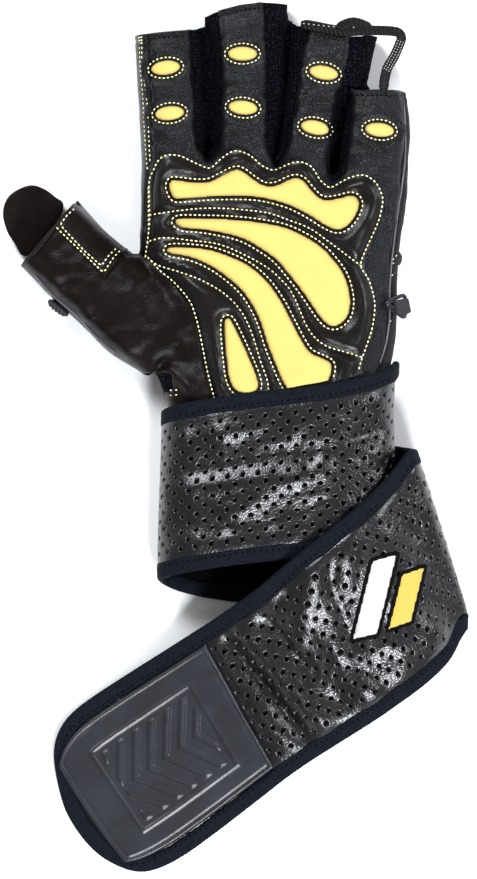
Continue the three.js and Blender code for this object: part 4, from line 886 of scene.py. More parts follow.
class HeightField:
    """The height of a surface seen from above, sampled evenly and softened."""

    def __init__(self, tree: BVHTree, low: tuple[float, float], high: tuple[float, float], pitch: float = 1.0,
                 rounds: int = 2, missing: float = 0.0) -> None:
        """Samples a surface.

        Args:
            tree: the surface in millimetres.
            low: the lowest x and y.
            high: the highest x and y.
            pitch: millimetres between samples.
            rounds: how often the samples are softened.
            missing: the height where there is no surface.
        """
        self.low, self.pitch = np.array(low, float), pitch
        count = [int((h - l) / pitch) + 1 for l, h in zip(low, high)]
        self.values = np.full(count, missing)
        down = Vector((0, 0, -1))
        for i in range(count[0]):
            for j in range(count[1]):
                hit = tree.ray_cast(Vector((low[0] + i * pitch, low[1] + j * pitch, 200)), down)[0]
                if hit is not None:
                    self.values[i, j] = hit.z
        for _ in range(rounds):
            for axis in (0, 1):
                ahead, behind = np.roll(self.values, -1, axis), np.roll(self.values, 1, axis)
                near = (np.abs(ahead - self.values) < 2.5) & (np.abs(behind - self.values) < 2.5)
                self.values = np.where(near, (ahead + behind + 2 * self.values) / 4, self.values)

    def at(self, places: np.ndarray) -> np.ndarray:
        """Heights at places in plan.

        Args:
            places: places in plan.

        Returns:
            Their heights.
        """
        share = (places[:, :2] - self.low) / self.pitch
        share = np.clip(share, 0, np.array(self.values.shape) - 1.001)
        whole = share.astype(int)
        part = share - whole
        i, j = whole[:, 0], whole[:, 1]
        near = self.values[i, j] * (1 - part[:, 1]) + self.values[i, j + 1] * part[:, 1]
        far = self.values[i + 1, j] * (1 - part[:, 1]) + self.values[i + 1, j + 1] * part[:, 1]
        return near * (1 - part[:, 0]) + far * part[:, 0]


@dataclass
class HandShell:
    """The sewn shell of the hand: palm, half fingers, thumb, side strips and knit gussets."""

    voxel: float = 1.1
    sides: int = 64
    skin: float = 1.7
    beyond: float = 5.5
    little_beyond: float = 0.9
    seam_depth: float = 0.9
    seam_width: float = 0.9
    knit_depth: float = 0.9
    fold_strength: float = 1.3
    regions: dict[str, np.ndarray] = field(default_factory=region_outlines)

    def volume(self) -> bmesh.types.BMesh:
        """The closed outer form, made even by a voxel remesh and softened where the tubes meet.

        Returns:
            The form.
        """
        whole = bmesh.new()
        for rings in (self._palm(), *(self._finger(finger) for finger in FINGERS.values()), self._thumb()):
            join_into(whole, extruded_rings(rings))
        mesh = bpy.data.meshes.new("volume")
        whole.to_mesh(mesh)
        holder = bpy.data.objects.new("volume", mesh)
        bpy.context.scene.collection.objects.link(holder)
        add_modifier(holder, "REMESH", mode="VOXEL", voxel_size=self.voxel, adaptivity=0.0)
        shape = holder.evaluated_get(bpy.context.evaluated_depsgraph_get())
        whole.clear()
        whole.from_mesh(shape.to_mesh())
        bpy.data.objects.remove(holder)
        bpy.data.meshes.remove(mesh)
        for _ in range(6):
            bmesh.ops.smooth_vert(whole, verts=whole.verts, factor=0.5, use_axis_x=True, use_axis_y=True,
                                  use_axis_z=True)
        return whole

    def _palm(self) -> list[np.ndarray]:
        """Rings of the palm, with its hollows.

        Returns:
            The rings, from the wrist up.
        """
        rings = []
        for v in np.linspace(-0.24, 1.04, 36):
            section = palm_section(v)
            ring = []
            for i, (x, z, share) in enumerate(section.ring(self.sides)):
                y = v * PALM_LENGTH - section.drop * share
                if i < self.sides / 2:
                    for u, w, reach, depth in PALM_HOLLOWS:
                        away = math.hypot(x - u * PALM_WIDTH, y - w * PALM_LENGTH) / (reach * PALM_DEPTH)
                        z -= depth * PALM_DEPTH * math.exp(-away * away)
                ring.append((x, y, z))
            rings.append(np.array(ring))
        return rings

    def _finger(self, finger: Finger) -> list[np.ndarray]:
        """Rings of a finger, run past its hem."""
        beyond = self.little_beyond if finger is FINGERS["little"] else self.beyond
        shares = np.linspace(finger.rows[0, 0], 1 + beyond / finger.length, 20)
        return [finger.ring(share, self.sides // 2) for share in shares]

    def _thumb(self) -> list[np.ndarray]:
        """Rings of the thumb, run past its hem.

        Returns:
            The rings, in from the mouth.
        """
        rings = []
        for share in np.linspace(-self.beyond / THUMB_LENGTH, 1, 18):
            _, upper, lower, deep = row_at(THUMB_ROWS, max(share, 0))
            section = Section(-upper * THUMB_WIDTH, lower * THUMB_WIDTH, 0, deep * THUMB_DEPTH)
            rings.append(np.array([thumb_at(share * THUMB_LENGTH, across, up)
                                   for across, up, _ in section.ring(self.sides // 2)]))
        return rings

    def _relief(self, bm: bmesh.types.BMesh) -> None:
        """Presses the seams in, sinks the knit and raises the soft folds.

        Args:
            bm: the hand's form.
        """
        bm.normal_update()
        co = np.array([vert.co for vert in bm.verts])
        normals = np.array([vert.normal for vert in bm.verts])
        places = co[:, :2]
        facing = np.clip(normals[:, 2] * 1.6, 0, 1)
        push = np.zeros(len(co))
        for name, outline in self.regions.items():
            away = line_distance(places, outline, True)
            push -= self.seam_depth * bell(away, self.seam_width)
            if name.startswith("gusset"):
                within = inside(places, outline)
                push -= self.knit_depth * within * np.clip(away / 1.2, 0, 1)
                push += 0.5 * ~within * bell(away - 2.2, 1.4)
        for _, centre, turn in OVALS:
            ring = ellipse(centre, turn, OVAL_STITCH, 40)
            away = line_distance(places, ring, True)
            push -= 0.7 * bell(away, 0.8)
            push += 0.7 * bell(away - 2.4, 1.5) * ~inside(places, ring)
        push *= facing
        for x0, y0, x1, y1, width, height in HAND_FOLDS:
            away = line_distance(places, plan([(x0, y0), (x1, y1)]))
            push += self.fold_strength * height * bell(away, width) * facing
        random = 0.5 * ripple(places, (13, 9), 3.1) + 0.25 * ripple(places, (5, 4), 8.2)
        push += random * (0.3 + 0.7 * facing)
        for hem in HEMS.values():
            push -= 0.35 * bell(line_distance(places, plan(hem) - (0, 2.3)), 0.5)
        co += normals * push[:, None]
        for course, width, depth in VALLEYS:
            away = line_distance(places, smooth_line(plan(course), 2.0))
            sunk = np.maximum(co[:, 2] - depth * bell(away, width), BACK_SEAM_HEIGHT + 1)
            co[:, 2] = np.where(co[:, 2] > BACK_SEAM_HEIGHT + 1, sunk, co[:, 2])
        co[:, 2] = np.maximum(co[:, 2], 0.15)
        for vert, place in zip(bm.verts, co):
            vert.co = place

    def _cut_hems(self, bm: bmesh.types.BMesh) -> None:
        """Opens the fingers, the thumb and the wrist at their hems.

        Args:
            bm: the hand's form.
        """
        cuts = []
        for name, hem in HEMS.items():
            finger, last = FINGERS[name], row_at(FINGERS[name].rows, 1.0)
            line = [Vector((*place, 0)) for place in plan(hem)]
            axis = finger.at(1, 0) - finger.at(0, 0)
            for number, (start, end) in enumerate(zip(line[:-1], line[1:])):
                side = Vector((axis.y, -axis.x, 0))
                root = finger.at(finger.length, 0)
                low = (start - root).dot(side) if number else -last[1] * finger.width - 0.8
                high = (end - root).dot(side) if end is not line[-1] else last[2] * finger.width + 0.8
                out = (end - start).normalized()
                reach = 1.3 if name == "little" else 9.0
                cuts.append((start, Vector((-out.y, out.x, 0)), root, side, low, high, reach))
        start, end = (Vector((*place, 0)) for place in plan(THUMB_HEM))
        out = (end - start).normalized()
        cuts.append((start, Vector((-out.y, out.x, 0)), start, out, -10, 45, 12))
        cuts.append((Vector((0, -23, 0)), Vector((0, -1, 0)), Vector((0, 0, 0)), Vector((1, 0, 0)),
                     -200, 200, 9))
        for place, out, root, side, low, high, reach in cuts:
            near = []
            for face in bm.faces:
                middle = face.calc_center_median()
                if low - 1 < (middle - root).dot(side) < high + 1 and -4 < (middle - place).dot(out) < reach:
                    near.append(face)
            parts = {item for face in near for item in (face, *face.edges, *face.verts)}
            bmesh.ops.bisect_plane(bm, geom=list(parts), dist=1e-3, plane_co=place, plane_no=out)
        beyond = set()
        for place, out, root, side, low, high, reach in cuts:
            for face in bm.faces:
                middle = face.calc_center_median()
                if low < (middle - root).dot(side) <= high and 0 < (middle - place).dot(out) < reach:
                    beyond.add(face)
        bmesh.ops.delete(bm, geom=list(beyond), context="FACES")
        keep_largest(bm)

    def _snap(self, bm: bmesh.types.BMesh) -> None:
        """Draws vertices beside a seam onto it, so that the pieces meet on clean lines.

        Args:
            bm: the hand's form.
        """
        co = np.array([vert.co for vert in bm.verts])
        for outline in self.regions.values():
            loop = np.vstack([outline, outline[:1]])
            for start, end in zip(loop[:-1], loop[1:]):
                way = end - start
                along = ((co[:, :2] - start) @ way) / max(float(way @ way), 1e-9)
                foot = start + np.clip(along, 0, 1)[:, None] * way
                away = np.linalg.norm(co[:, :2] - foot, axis=1)
                near = (away < 0.52 * self.voxel) & (along > 0) & (along < 1) & (co[:, 2] > BACK_SEAM_HEIGHT)
                co[near, :2] = foot[near]
        for vert, place in zip(bm.verts, co):
            vert.co = place

    def make(self) -> BVHTree:
        """Builds every piece of the shell.

        Returns:
            The shell's outside in millimetres, for what is sewn on it.
        """
        bm = self.volume()
        self._relief(bm)
        self._cut_hems(bm)
        tree = BVHTree.FromBMesh(bm)
        self._snap(bm)
        centres = np.array([face.calc_center_median() for face in bm.faces])
        owner = np.full(len(centres), "palm_leather", dtype=object)
        for name in ("outer_side", "index_side", "gusset_ring_little", "gusset_middle_ring",
                     "gusset_index_middle", "thumb_leather"):
            owner[inside(centres[:, :2], self.regions[name])] = name
        insert = (owner == "thumb_leather") & (centres[:, 0] < 14) & (np.abs(centres[:, 1] - 10.8) < 4)
        owner[insert] = "thumb_base_gusset"
        owner[centres[:, 2] < BACK_SEAM_HEIGHT] = "back_panel"
        finishes = {"palm_leather": (PALM_LEATHER, "palm_leather"),
                    "index_side": (PALM_LEATHER, "palm_leather"),
                    "outer_side": (BACK_CLOTH, "back_fabric"), "back_panel": (BACK_CLOTH, "back_fabric"),
                    "thumb_leather": (THUMB_LEATHER, "thumb_leather")}
        bm.faces.ensure_lookup_table()
        for name in dict.fromkeys(owner):
            part = bm.copy()
            part.faces.ensure_lookup_table()
            others = [part.faces[i] for i in np.flatnonzero(owner != name)]
            bmesh.ops.delete(part, geom=others, context="FACES")
            finish, slot = finishes.get(name, (KNIT, "knit"))
            piece = build(part, f"{name}_sewn", finish, [name])
            thicken(piece, self.skin)
        bm.free()
        return tree


def ellipse(centre: tuple[float, float], turn: float, half: tuple[float, float], count: int) -> np.ndarray:
    """A turned ellipse in plan, with its centre in plan steps."""
    middle = plan([centre])[0]
    cos, sin = math.cos(math.radians(turn)), math.sin(math.radians(turn))
    angles = np.linspace(0, 2 * math.pi, count, endpoint=False)
    x, y = half[0] * np.cos(angles), half[1] * np.sin(angles)
    return middle + np.column_stack([x * cos - y * sin, x * sin + y * cos])


@dataclass
class Stitching:
    """Rows of short thread stitches, gathered in one piece for each thread."""

    pitch: float = 1.85
    length: float = 1.25
    width: float = 0.62
    made: dict[str, bmesh.types.BMesh] = field(default_factory=dict)

    def sew(self, thread: Finish, line: np.ndarray, heights: Callable[[np.ndarray], np.ndarray],
            closed: bool = False, lift: float = 0.1, scale: float = 1.0, pitch: float | None = None) -> None:
        """Sews along a line in plan.

        Args:
            thread: the thread's finish.
            line: the line in plan.
            heights: gives the surface's height at places in plan.
            closed: whether the line returns to its start.
            lift: how far the stitch's middle stands over the surface.
            scale: the stitch's size against the usual one.
            pitch: millimetres between stitches, where it isn't the usual.
        """
        bm = self.made.setdefault(thread.name, bmesh.new())
        centres = even_line(line, pitch or self.pitch * scale, closed)
        ahead = np.roll(centres, -1, axis=0) - np.roll(centres, 1, axis=0)
        if not closed:
            ahead[0], ahead[-1] = centres[1] - centres[0], centres[-1] - centres[-2]
        ahead /= np.linalg.norm(ahead, axis=1)[:, None] + 1e-9
        half = 0.6
        front, back = heights(centres + ahead * half), heights(centres - ahead * half)
        middle = heights(centres)
        side = np.column_stack([-ahead[:, 1], ahead[:, 0]])
        tilt = (heights(centres + side * half) - heights(centres - side * half)) / (2 * half)
        for i, place in enumerate(centres):
            slope = (front[i] - back[i]) / (2 * half)
            if abs(slope) > 2 or middle[i] < 1:
                continue
            along = Vector((*ahead[i], slope)).normalized()
            across = Vector((*side[i], float(np.clip(tilt[i], -2, 2)))).normalized()
            up = along.cross(across).normalized()
            across = up.cross(along)
            size = self.length * scale / 2, self.width * scale / 2, self.width * scale * 0.4
            turned = Matrix((along * size[0], across * size[1], up * size[2])).transposed().to_4x4()
            matrix = Matrix.Translation((*place, middle[i] + lift)) @ turned
            bmesh.ops.create_uvsphere(bm, u_segments=6, v_segments=4, radius=1.0, matrix=matrix)

    def make(self) -> None:
        """Builds one piece of each thread."""
        for name, bm in self.made.items():
            finish = {f.name: f for f in (THREAD, DARK_THREAD, WHITE_THREAD)}[name]
            bmesh.ops.recalc_face_normals(bm, faces=bm.faces)
            build(bm, f"stitches_{name.split('_')[0]}", finish)


@dataclass
class PalmCover:
    """The reinforcement leather over the palm, with its padded channels and the four yellow pads."""

    ground: HeightField
    stitching: Stitching
    lift: float = 0.3
    leather: float = 1.2
    puff: float = 2.0
    puff_width: float = 1.9
    ring_gap: float = 1.35
    pad_rise: float = 1.9
    pad_edge: float = 1.3
    pitch: float = 1.1

    def __post_init__(self) -> None:
        """Works out the pads' outlines and the lines that hold the leather down."""
        self.pads = {name: smooth_line(plan(points), 1.0, True) for name, points in PADS.items()}
        self.rings = {name: offset_line(line, self.ring_gap) for name, line in self.pads.items()}
        self.border = smooth_line(BORDER, 1.2)
        self.dividers = [smooth_line(line, 1.2) for line in DIVIDERS]
        self.seam = smooth_line(THUMB_STITCH, 1.2)

    def top(self, places: np.ndarray) -> np.ndarray:
        """The height of the leather's face at places in plan.

        Args:
            places: places in plan.

        Returns:
            Their heights.
        """
        away = line_distance(places, self.border)
        for line in (*self.dividers, self.seam):
            away = np.minimum(away, line_distance(places, line))
        for ring in self.rings.values():
            away = np.minimum(away, line_distance(places, ring, True))
            away = np.where(inside(places, ring), 0, away)
        crown = self.puff * (1 - bell(away, self.puff_width))
        ruck = 0.25 * ripple(places, (7, 5), 5.5) * (1 - bell(away, 1.5))
        near_edge = np.clip(line_distance(places, smooth_line(OVERLAY_EDGE, 2.0, True), True) / 2.5, 0, 1)
        return self.ground.at(places) + self.lift + self.leather + (crown + ruck) * near_edge

    def _cut_at_cuff(self, bm: bmesh.types.BMesh, under: float) -> None:
        """Cuts a flat mesh off a little way under the cuff's binding."""
        for start, end in zip(CUFF_EDGE[:-1], CUFF_EDGE[1:]):
            way = end - start
            normal = Vector((way[1], -way[0], 0)).normalized()
            middle = (start + end) / 2
            bmesh.ops.bisect_plane(bm, geom=all_geometry(bm), dist=1e-3, clear_outer=True,
                                   plane_co=Vector((*middle, 0)) + normal * under, plane_no=normal)

    def make(self) -> None:
        """Builds the leather and its pads."""
        bm = flat_mesh(smooth_line(OVERLAY_EDGE, 1.2, True), self.pitch)
        self._cut_at_cuff(bm, 2.0)
        raise_to(bm, self.top(plan_of(bm)))
        piece = build(bm, "palm_overlay_leather", OVERLAY_LEATHER, ["palm_overlay"])
        thicken(piece, self.leather, 0.25)
        for name, outline in self.pads.items():
            self._pad(name, outline)
        for line in (self.border, *self.dividers, self.seam):
            self.stitching.sew(THREAD, self._clear(line), self.top)
        for name, ring in self.rings.items():
            self.stitching.sew(THREAD, self._clear(ring, name != "pad_arch"), self.top,
                               closed=name in ("pad_knuckle", "pad_crescent"))

    def _clear(self, line: np.ndarray, whole: bool = True) -> np.ndarray:
        """The part of a line that isn't under the cuff."""
        keep = line[:, 1] > np.interp(line[:, 0], CUFF_EDGE[:, 0], CUFF_EDGE[:, 1]) + 0.4
        if keep.all():
            return line
        gap = int(np.flatnonzero(~keep)[0])
        turned = np.roll(line, -gap, axis=0)
        return turned[np.roll(keep, -gap)]

    def _pad(self, name: str, outline: np.ndarray) -> None:
        """Builds one pad, crowned a little and rounded down at its edge.

        Args:
            name: the pad's node.
            outline: its outline in plan.
        """
        bm = flat_mesh(outline, 0.9)
        self._cut_at_cuff(bm, 0.6)
        places = plan_of(bm)
        away = line_distance(places, outline, True)
        edge = rounded(away, self.pad_edge)
        crown = 0.5 * (1 - bell(away, 6.0))
        base = self.ground.at(places) + self.lift + self.leather
        raise_to(bm, base - 0.5 + (self.pad_rise + 0.5) * edge + crown)
        piece = build(bm, f"{name}_cushion", PAD_SKIN, [name])
        thicken(piece, 1.4)


@dataclass
class FingerGrips:
    """The seven small oval grips and the stitches of the fingers."""

    ground: HeightField
    stitching: Stitching
    rise: float = 1.5
    edge: float = 1.1

    def make(self) -> None:
        """Builds the ovals, their stitch rings, the index seams and the hems' stitches."""
        counts: dict[str, int] = {}
        for finger, centre, turn in OVALS:
            counts[finger] = counts.get(finger, 0) + 1
            outline = ellipse(centre, turn, OVAL_HALF, 48)
            bm = flat_mesh(outline, 0.6)
            places = plan_of(bm)
            away = line_distance(places, outline, True)
            raise_to(bm, self.ground.at(places) + self.rise * rounded(away, self.edge))
            name = f"oval_{finger}_{counts[finger]}"
            piece = build(bm, f"{name}_cushion", PAD_SKIN, [name])
            thicken(piece, 0.9)
            ring = ellipse(centre, turn, OVAL_STITCH, 60)
            self.stitching.sew(THREAD, ring, self.ground.at, closed=True, lift=0.15, scale=0.92)
        for line in THREAD_KNOT:
            self.stitching.sew(THREAD, even_line(line, 0.8), self.ground.at, lift=0.4, pitch=1.0)
        for line in (*INDEX_STITCHES, *SIDE_STITCHES):
            self.stitching.sew(THREAD, smooth_line(line, 1.0), self.ground.at, lift=0.1)
        for name, hem in HEMS.items():
            inner = even_line(plan(hem) - (0, 2.3), 1.0)
            self.stitching.sew(DARK_THREAD, inner[3:-3], self.ground.at, lift=0.1)


@dataclass
class Thumb:
    """What is sewn on the thumb: the patch, the pull tab, the ribbed tag and the edge piping."""

    ground: HeightField
    stitching: Stitching
    patch_thickness: float = 1.1
    tab_length: float = 23.0
    tab_thickness: float = 1.6
    tab_level: float = 3.7

    def make(self) -> None:
        """Builds each piece."""
        self._patch()
        self._tab()
        self._tag()
        self._piping()
        self._base_stitches()
        self._hem()

    def _patch(self) -> None:
        """The reinforcement, with its double row of stitches on three sides."""
        corners = plan([(76, 199), (52, 226), (78, 251), (104, 278), (115, 264), (125, 250), (100, 226)])
        dense = even_line(corners, 1.0, True)
        bm = flat_mesh(dense, 1.0)
        places = plan_of(bm)
        away = line_distance(places, even_line(corners, 1.0, True), True)
        top = self.ground.at(places) + 0.3 + self.patch_thickness - 0.35 * bell(away, 0.8)
        raise_to(bm, top)
        piece = build(bm, "thumb_patch_leather", THUMB_LEATHER, ["thumb_patch"])
        thicken(piece, self.patch_thickness)
        for row in ([(74, 203), (62, 214), (55.5, 224), (57, 229), (78, 249), (101, 271), (104, 272),
                     (113, 258), (122, 248)],
                    [(76, 206), (65, 217), (60, 225), (64, 230), (85, 252), (101, 266), (109, 255),
                     (118, 246)]):
            line = even_line(plan(row), 0.8)
            self.stitching.sew(THREAD, line, lambda at: self.ground.at(at) + 0.3 + self.patch_thickness)

    def _tab(self) -> None:
        """The flat rounded pull tab that comes out of the mouth."""
        outline = smooth_line(plan([(19.5, 254), (13, 243), (5, 230), (1, 213), (5, 198), (16, 188.5),
                                    (30, 184), (43, 188), (54, 196), (62, 204), (54, 226), (38, 246),
                                    (28, 254)]), 1.0, True)
        bm = flat_mesh(outline, 1.5)
        places = plan_of(bm)
        mouth = np.array(THUMB_MOUTH)
        out = (places - mouth) @ np.array([-math.sin(THUMB_TURN), math.cos(THUMB_TURN)]) / self.tab_length
        away = line_distance(places, outline, True)
        rise = 2.6 * np.clip(out, 0, 1) ** 1.5 + 0.25 * ripple(places, (12, 9), 2.0) - 0.3 * bell(away, 0.7)
        raise_to(bm, self.tab_level + self.tab_thickness / 2 + rise)
        piece = build(bm, "thumb_tab_leather", THUMB_LEATHER, ["thumb_tab"])
        thicken(piece, self.tab_thickness, 0.3)

    def _tag(self) -> None:
        """The small ribbed tag at the lower edge."""
        start, end = plan([(47, 300)])[0], plan([(67, 315)])[0]
        rings = []
        way = (end - start) / np.linalg.norm(end - start)
        side = np.array([way[1], -way[0]]) if way[0] < 0 else np.array([-way[1], way[0]])
        side = -side if side[1] > 0 else side
        count = 22
        for i in range(count + 1):
            share = i / count
            bulk = math.sqrt(max(1 - abs(2 * share - 1) ** 3, 0.02))
            rib = 1 + 0.12 * math.cos(share * 2 * math.pi * 6)
            centre = start + (end - start) * share
            ring = []
            for k in range(12):
                angle = 2 * math.pi * k / 12
                out = 1.9 * bulk * rib * math.cos(angle)
                ring.append((*(centre + side * out), 10.4 + 2.4 * bulk * rib * math.sin(angle)))
            rings.append(np.array(ring))
        build(extruded_rings(rings), "thumb_tag_rubber", BLACK_RUBBER, ["thumb_bump"])

    def _piping(self) -> None:
        """The thin grey edge piping along the thumb's lower side."""
        line = smooth_line(plan([(28, 268), (40, 282), (53, 296), (77, 316), (90, 331), (106, 346),
                                 (122, 357)]), 2.0)
        tube_along(line, self.ground.at(line) + 0.2, 0.4, "thumb_piping", PIPING_LEATHER, 3.0)

    def _hem(self) -> None:
        """The rolled edge of the thumb's mouth."""
        line = even_line(plan([(23, 264), (30, 255.5), (48, 234.5), (62, 218), (74, 204)]), 1.5)
        inner = line + np.array([0.9, -0.75])
        heights = self.ground.at(inner) + 0.25
        tube_along(line + (0.3, -0.25), heights, 0.85, "thumb_hem_roll", THUMB_LEATHER, 2.0)

    def _base_stitches(self) -> None:
        """Two short rows where the knit insert ends."""
        for down in (391, 396):
            self.stitching.sew(THREAD, even_line(plan([(160, down), (176, down - 1)]), 1.0), self.ground.at)


def height_beside(route: np.ndarray) -> Callable[[np.ndarray], np.ndarray]:
    """Gives a route's own height at places beside it.

    Args:
        route: places in space along the route.

    Returns:
        A function from places in plan to heights.
    """
    def height(places: np.ndarray) -> np.ndarray:
        """The height of the route's nearest place."""
        away = np.linalg.norm(places[:, None, :] - route[None, :, :2], axis=2)
        return route[np.argmin(away, axis=1), 2]

    return height


def tube_along(line: np.ndarray, heights: np.ndarray, radius: float, name: str, finish: Finish,
               fade: float = 0.0) -> bpy.types.Object:
    """A thin round cord along a line in plan.

    Args:
        line: the line.
        heights: the heights of its middle, which are evened out.
        radius: the cord's radius.
        name: the piece's name.
        finish: what it is made of.
        fade: how far its ends sink.

    Returns:
        The piece.
    """
    ahead = np.gradient(line, axis=0)
    ahead /= np.linalg.norm(ahead, axis=1)[:, None]
    rings = []
    heights = heights.copy()
    for _ in range(4):
        heights[1:-1] = (heights[2:] + heights[:-2] + 2 * heights[1:-1]) / 4
    for i, (place, way, height) in enumerate(zip(line, ahead, heights)):
        sink = fade * max(1 - min(i, len(line) - 1 - i) / 3, 0) ** 2
        ring = []
        for k in range(8):
            angle = 2 * math.pi * k / 8
            out = radius * math.cos(angle)
            ring.append((place[0] - way[1] * out, place[1] + way[0] * out,
                         height - sink + radius * math.sin(angle)))
        rings.append(np.array(ring))
    return build(extruded_rings(rings), name, finish)


# The wrist wrap

WRAP_WIDTH = 72.0
CUFF_WIDTH = 68.0
CUFF_RISE = 19.6
CUFF_DROP = 16.0
CUFF_SWEEP = 1.3
BAND_THICKNESS = 2.2
BINDING_THICKNESS = 3.0
BINDING_WIDTH = 6.4
TAIL_LENGTH = 197.0
TAIL_TURN = math.radians(36)
FOLD_STAND_OFF = 11.0
FOLD_SLANT = 22.8
WRAP_OFFSET = 1.9
FLOOR_LINE = 1.5
LAYER_STEP = 3.4
FIT = 0.4
TURN_STEPS = 26
WOUND_TURN = 0.74
# Columns: upper back, upper rise, lower back, lower rise.
FOLD_ROWS = ((3.5, 0, 4, 0), (2.3, 0, 2.3, 0), (1.15, 0.04, 1, 0), (0.35, 0.22, 0.2, 0.25), (0, 0.55, 0, 0.6),
             (0.27, 0.85, 0.27, 1))
# Columns: upper along, upper across, lower along, lower across.
TAIL_ROWS = ((0.07, 0.02, 0.19, 1.055), (0.14, 0.05, 0.25, 1.08), (0.22, 0.065, 0.31, 1.085),
             (0.33, 0.08, 0.4, 1.08), (0.43, 0.1, 0.49, 1.065), (0.53, 0.1, 0.58, 1.055),
             (0.64, 0.085, 0.675, 1.065), (0.76, 0.065, 0.78, 1.075), (0.86, 0.055, 0.87, 1.075),
             (0.915, 0.08, 0.93, 1.05), (0.965, 0.18, 0.972, 0.99), (1, 0.39, 1, 0.86))
# Creases of the tail and of the cuff: across, down, across, down, width and height in millimetres.
TAIL_FOLDS = (
    (214, 648, 296, 748, 3.0, 1.2), (228, 640, 306, 738, 3.2, -3.2), (246, 628, 324, 724, 3.6, 2.8),
    (268, 615, 345, 706, 3.2, -2.2), (290, 598, 372, 694, 3.4, 2.2), (330, 570, 352, 640, 3.6, -1.8),
    (318, 560, 300, 640, 3.2, 1.6), (350, 520, 340, 590, 3.4, 1.5), (385, 500, 440, 560, 4.4, -1.6),
    (400, 470, 455, 560, 3.6, 1.6), (300, 640, 330, 690, 2.6, 1.4), (232, 690, 268, 730, 2.6, 1.4),
    (372, 650, 440, 630, 4.2, 1.4), (340, 660, 400, 690, 3.4, -1.4), (380, 590, 440, 640, 4.0, 1.2),
    (280, 580, 330, 650, 3.0, -1.4), (425, 520, 452, 590, 3.4, -1.4),
)
CUFF_FOLDS = (
    (175, 440, 262, 424, 3.2, 1.2), (190, 470, 300, 448, 3.4, -1.3), (170, 492, 296, 474, 3.2, 1.2),
    (230, 512, 322, 468, 3.4, 1.4), (170, 520, 230, 528, 3.2, -1.1), (250, 530, 330, 498, 3.2, -1.3),
    (292, 424, 372, 400, 3.4, 1.2), (310, 457, 390, 425, 3.4, -1.2), (180, 545, 250, 535, 2.8, 1.0),
    (330, 440, 380, 455, 3.2, 1.0), (188, 450, 196, 548, 4.0, 1.1), (322, 460, 330, 528, 3.6, 0.9),
    (215, 415, 230, 470, 3.4, 0.8), (360, 410, 372, 440, 3.0, -0.9),
)


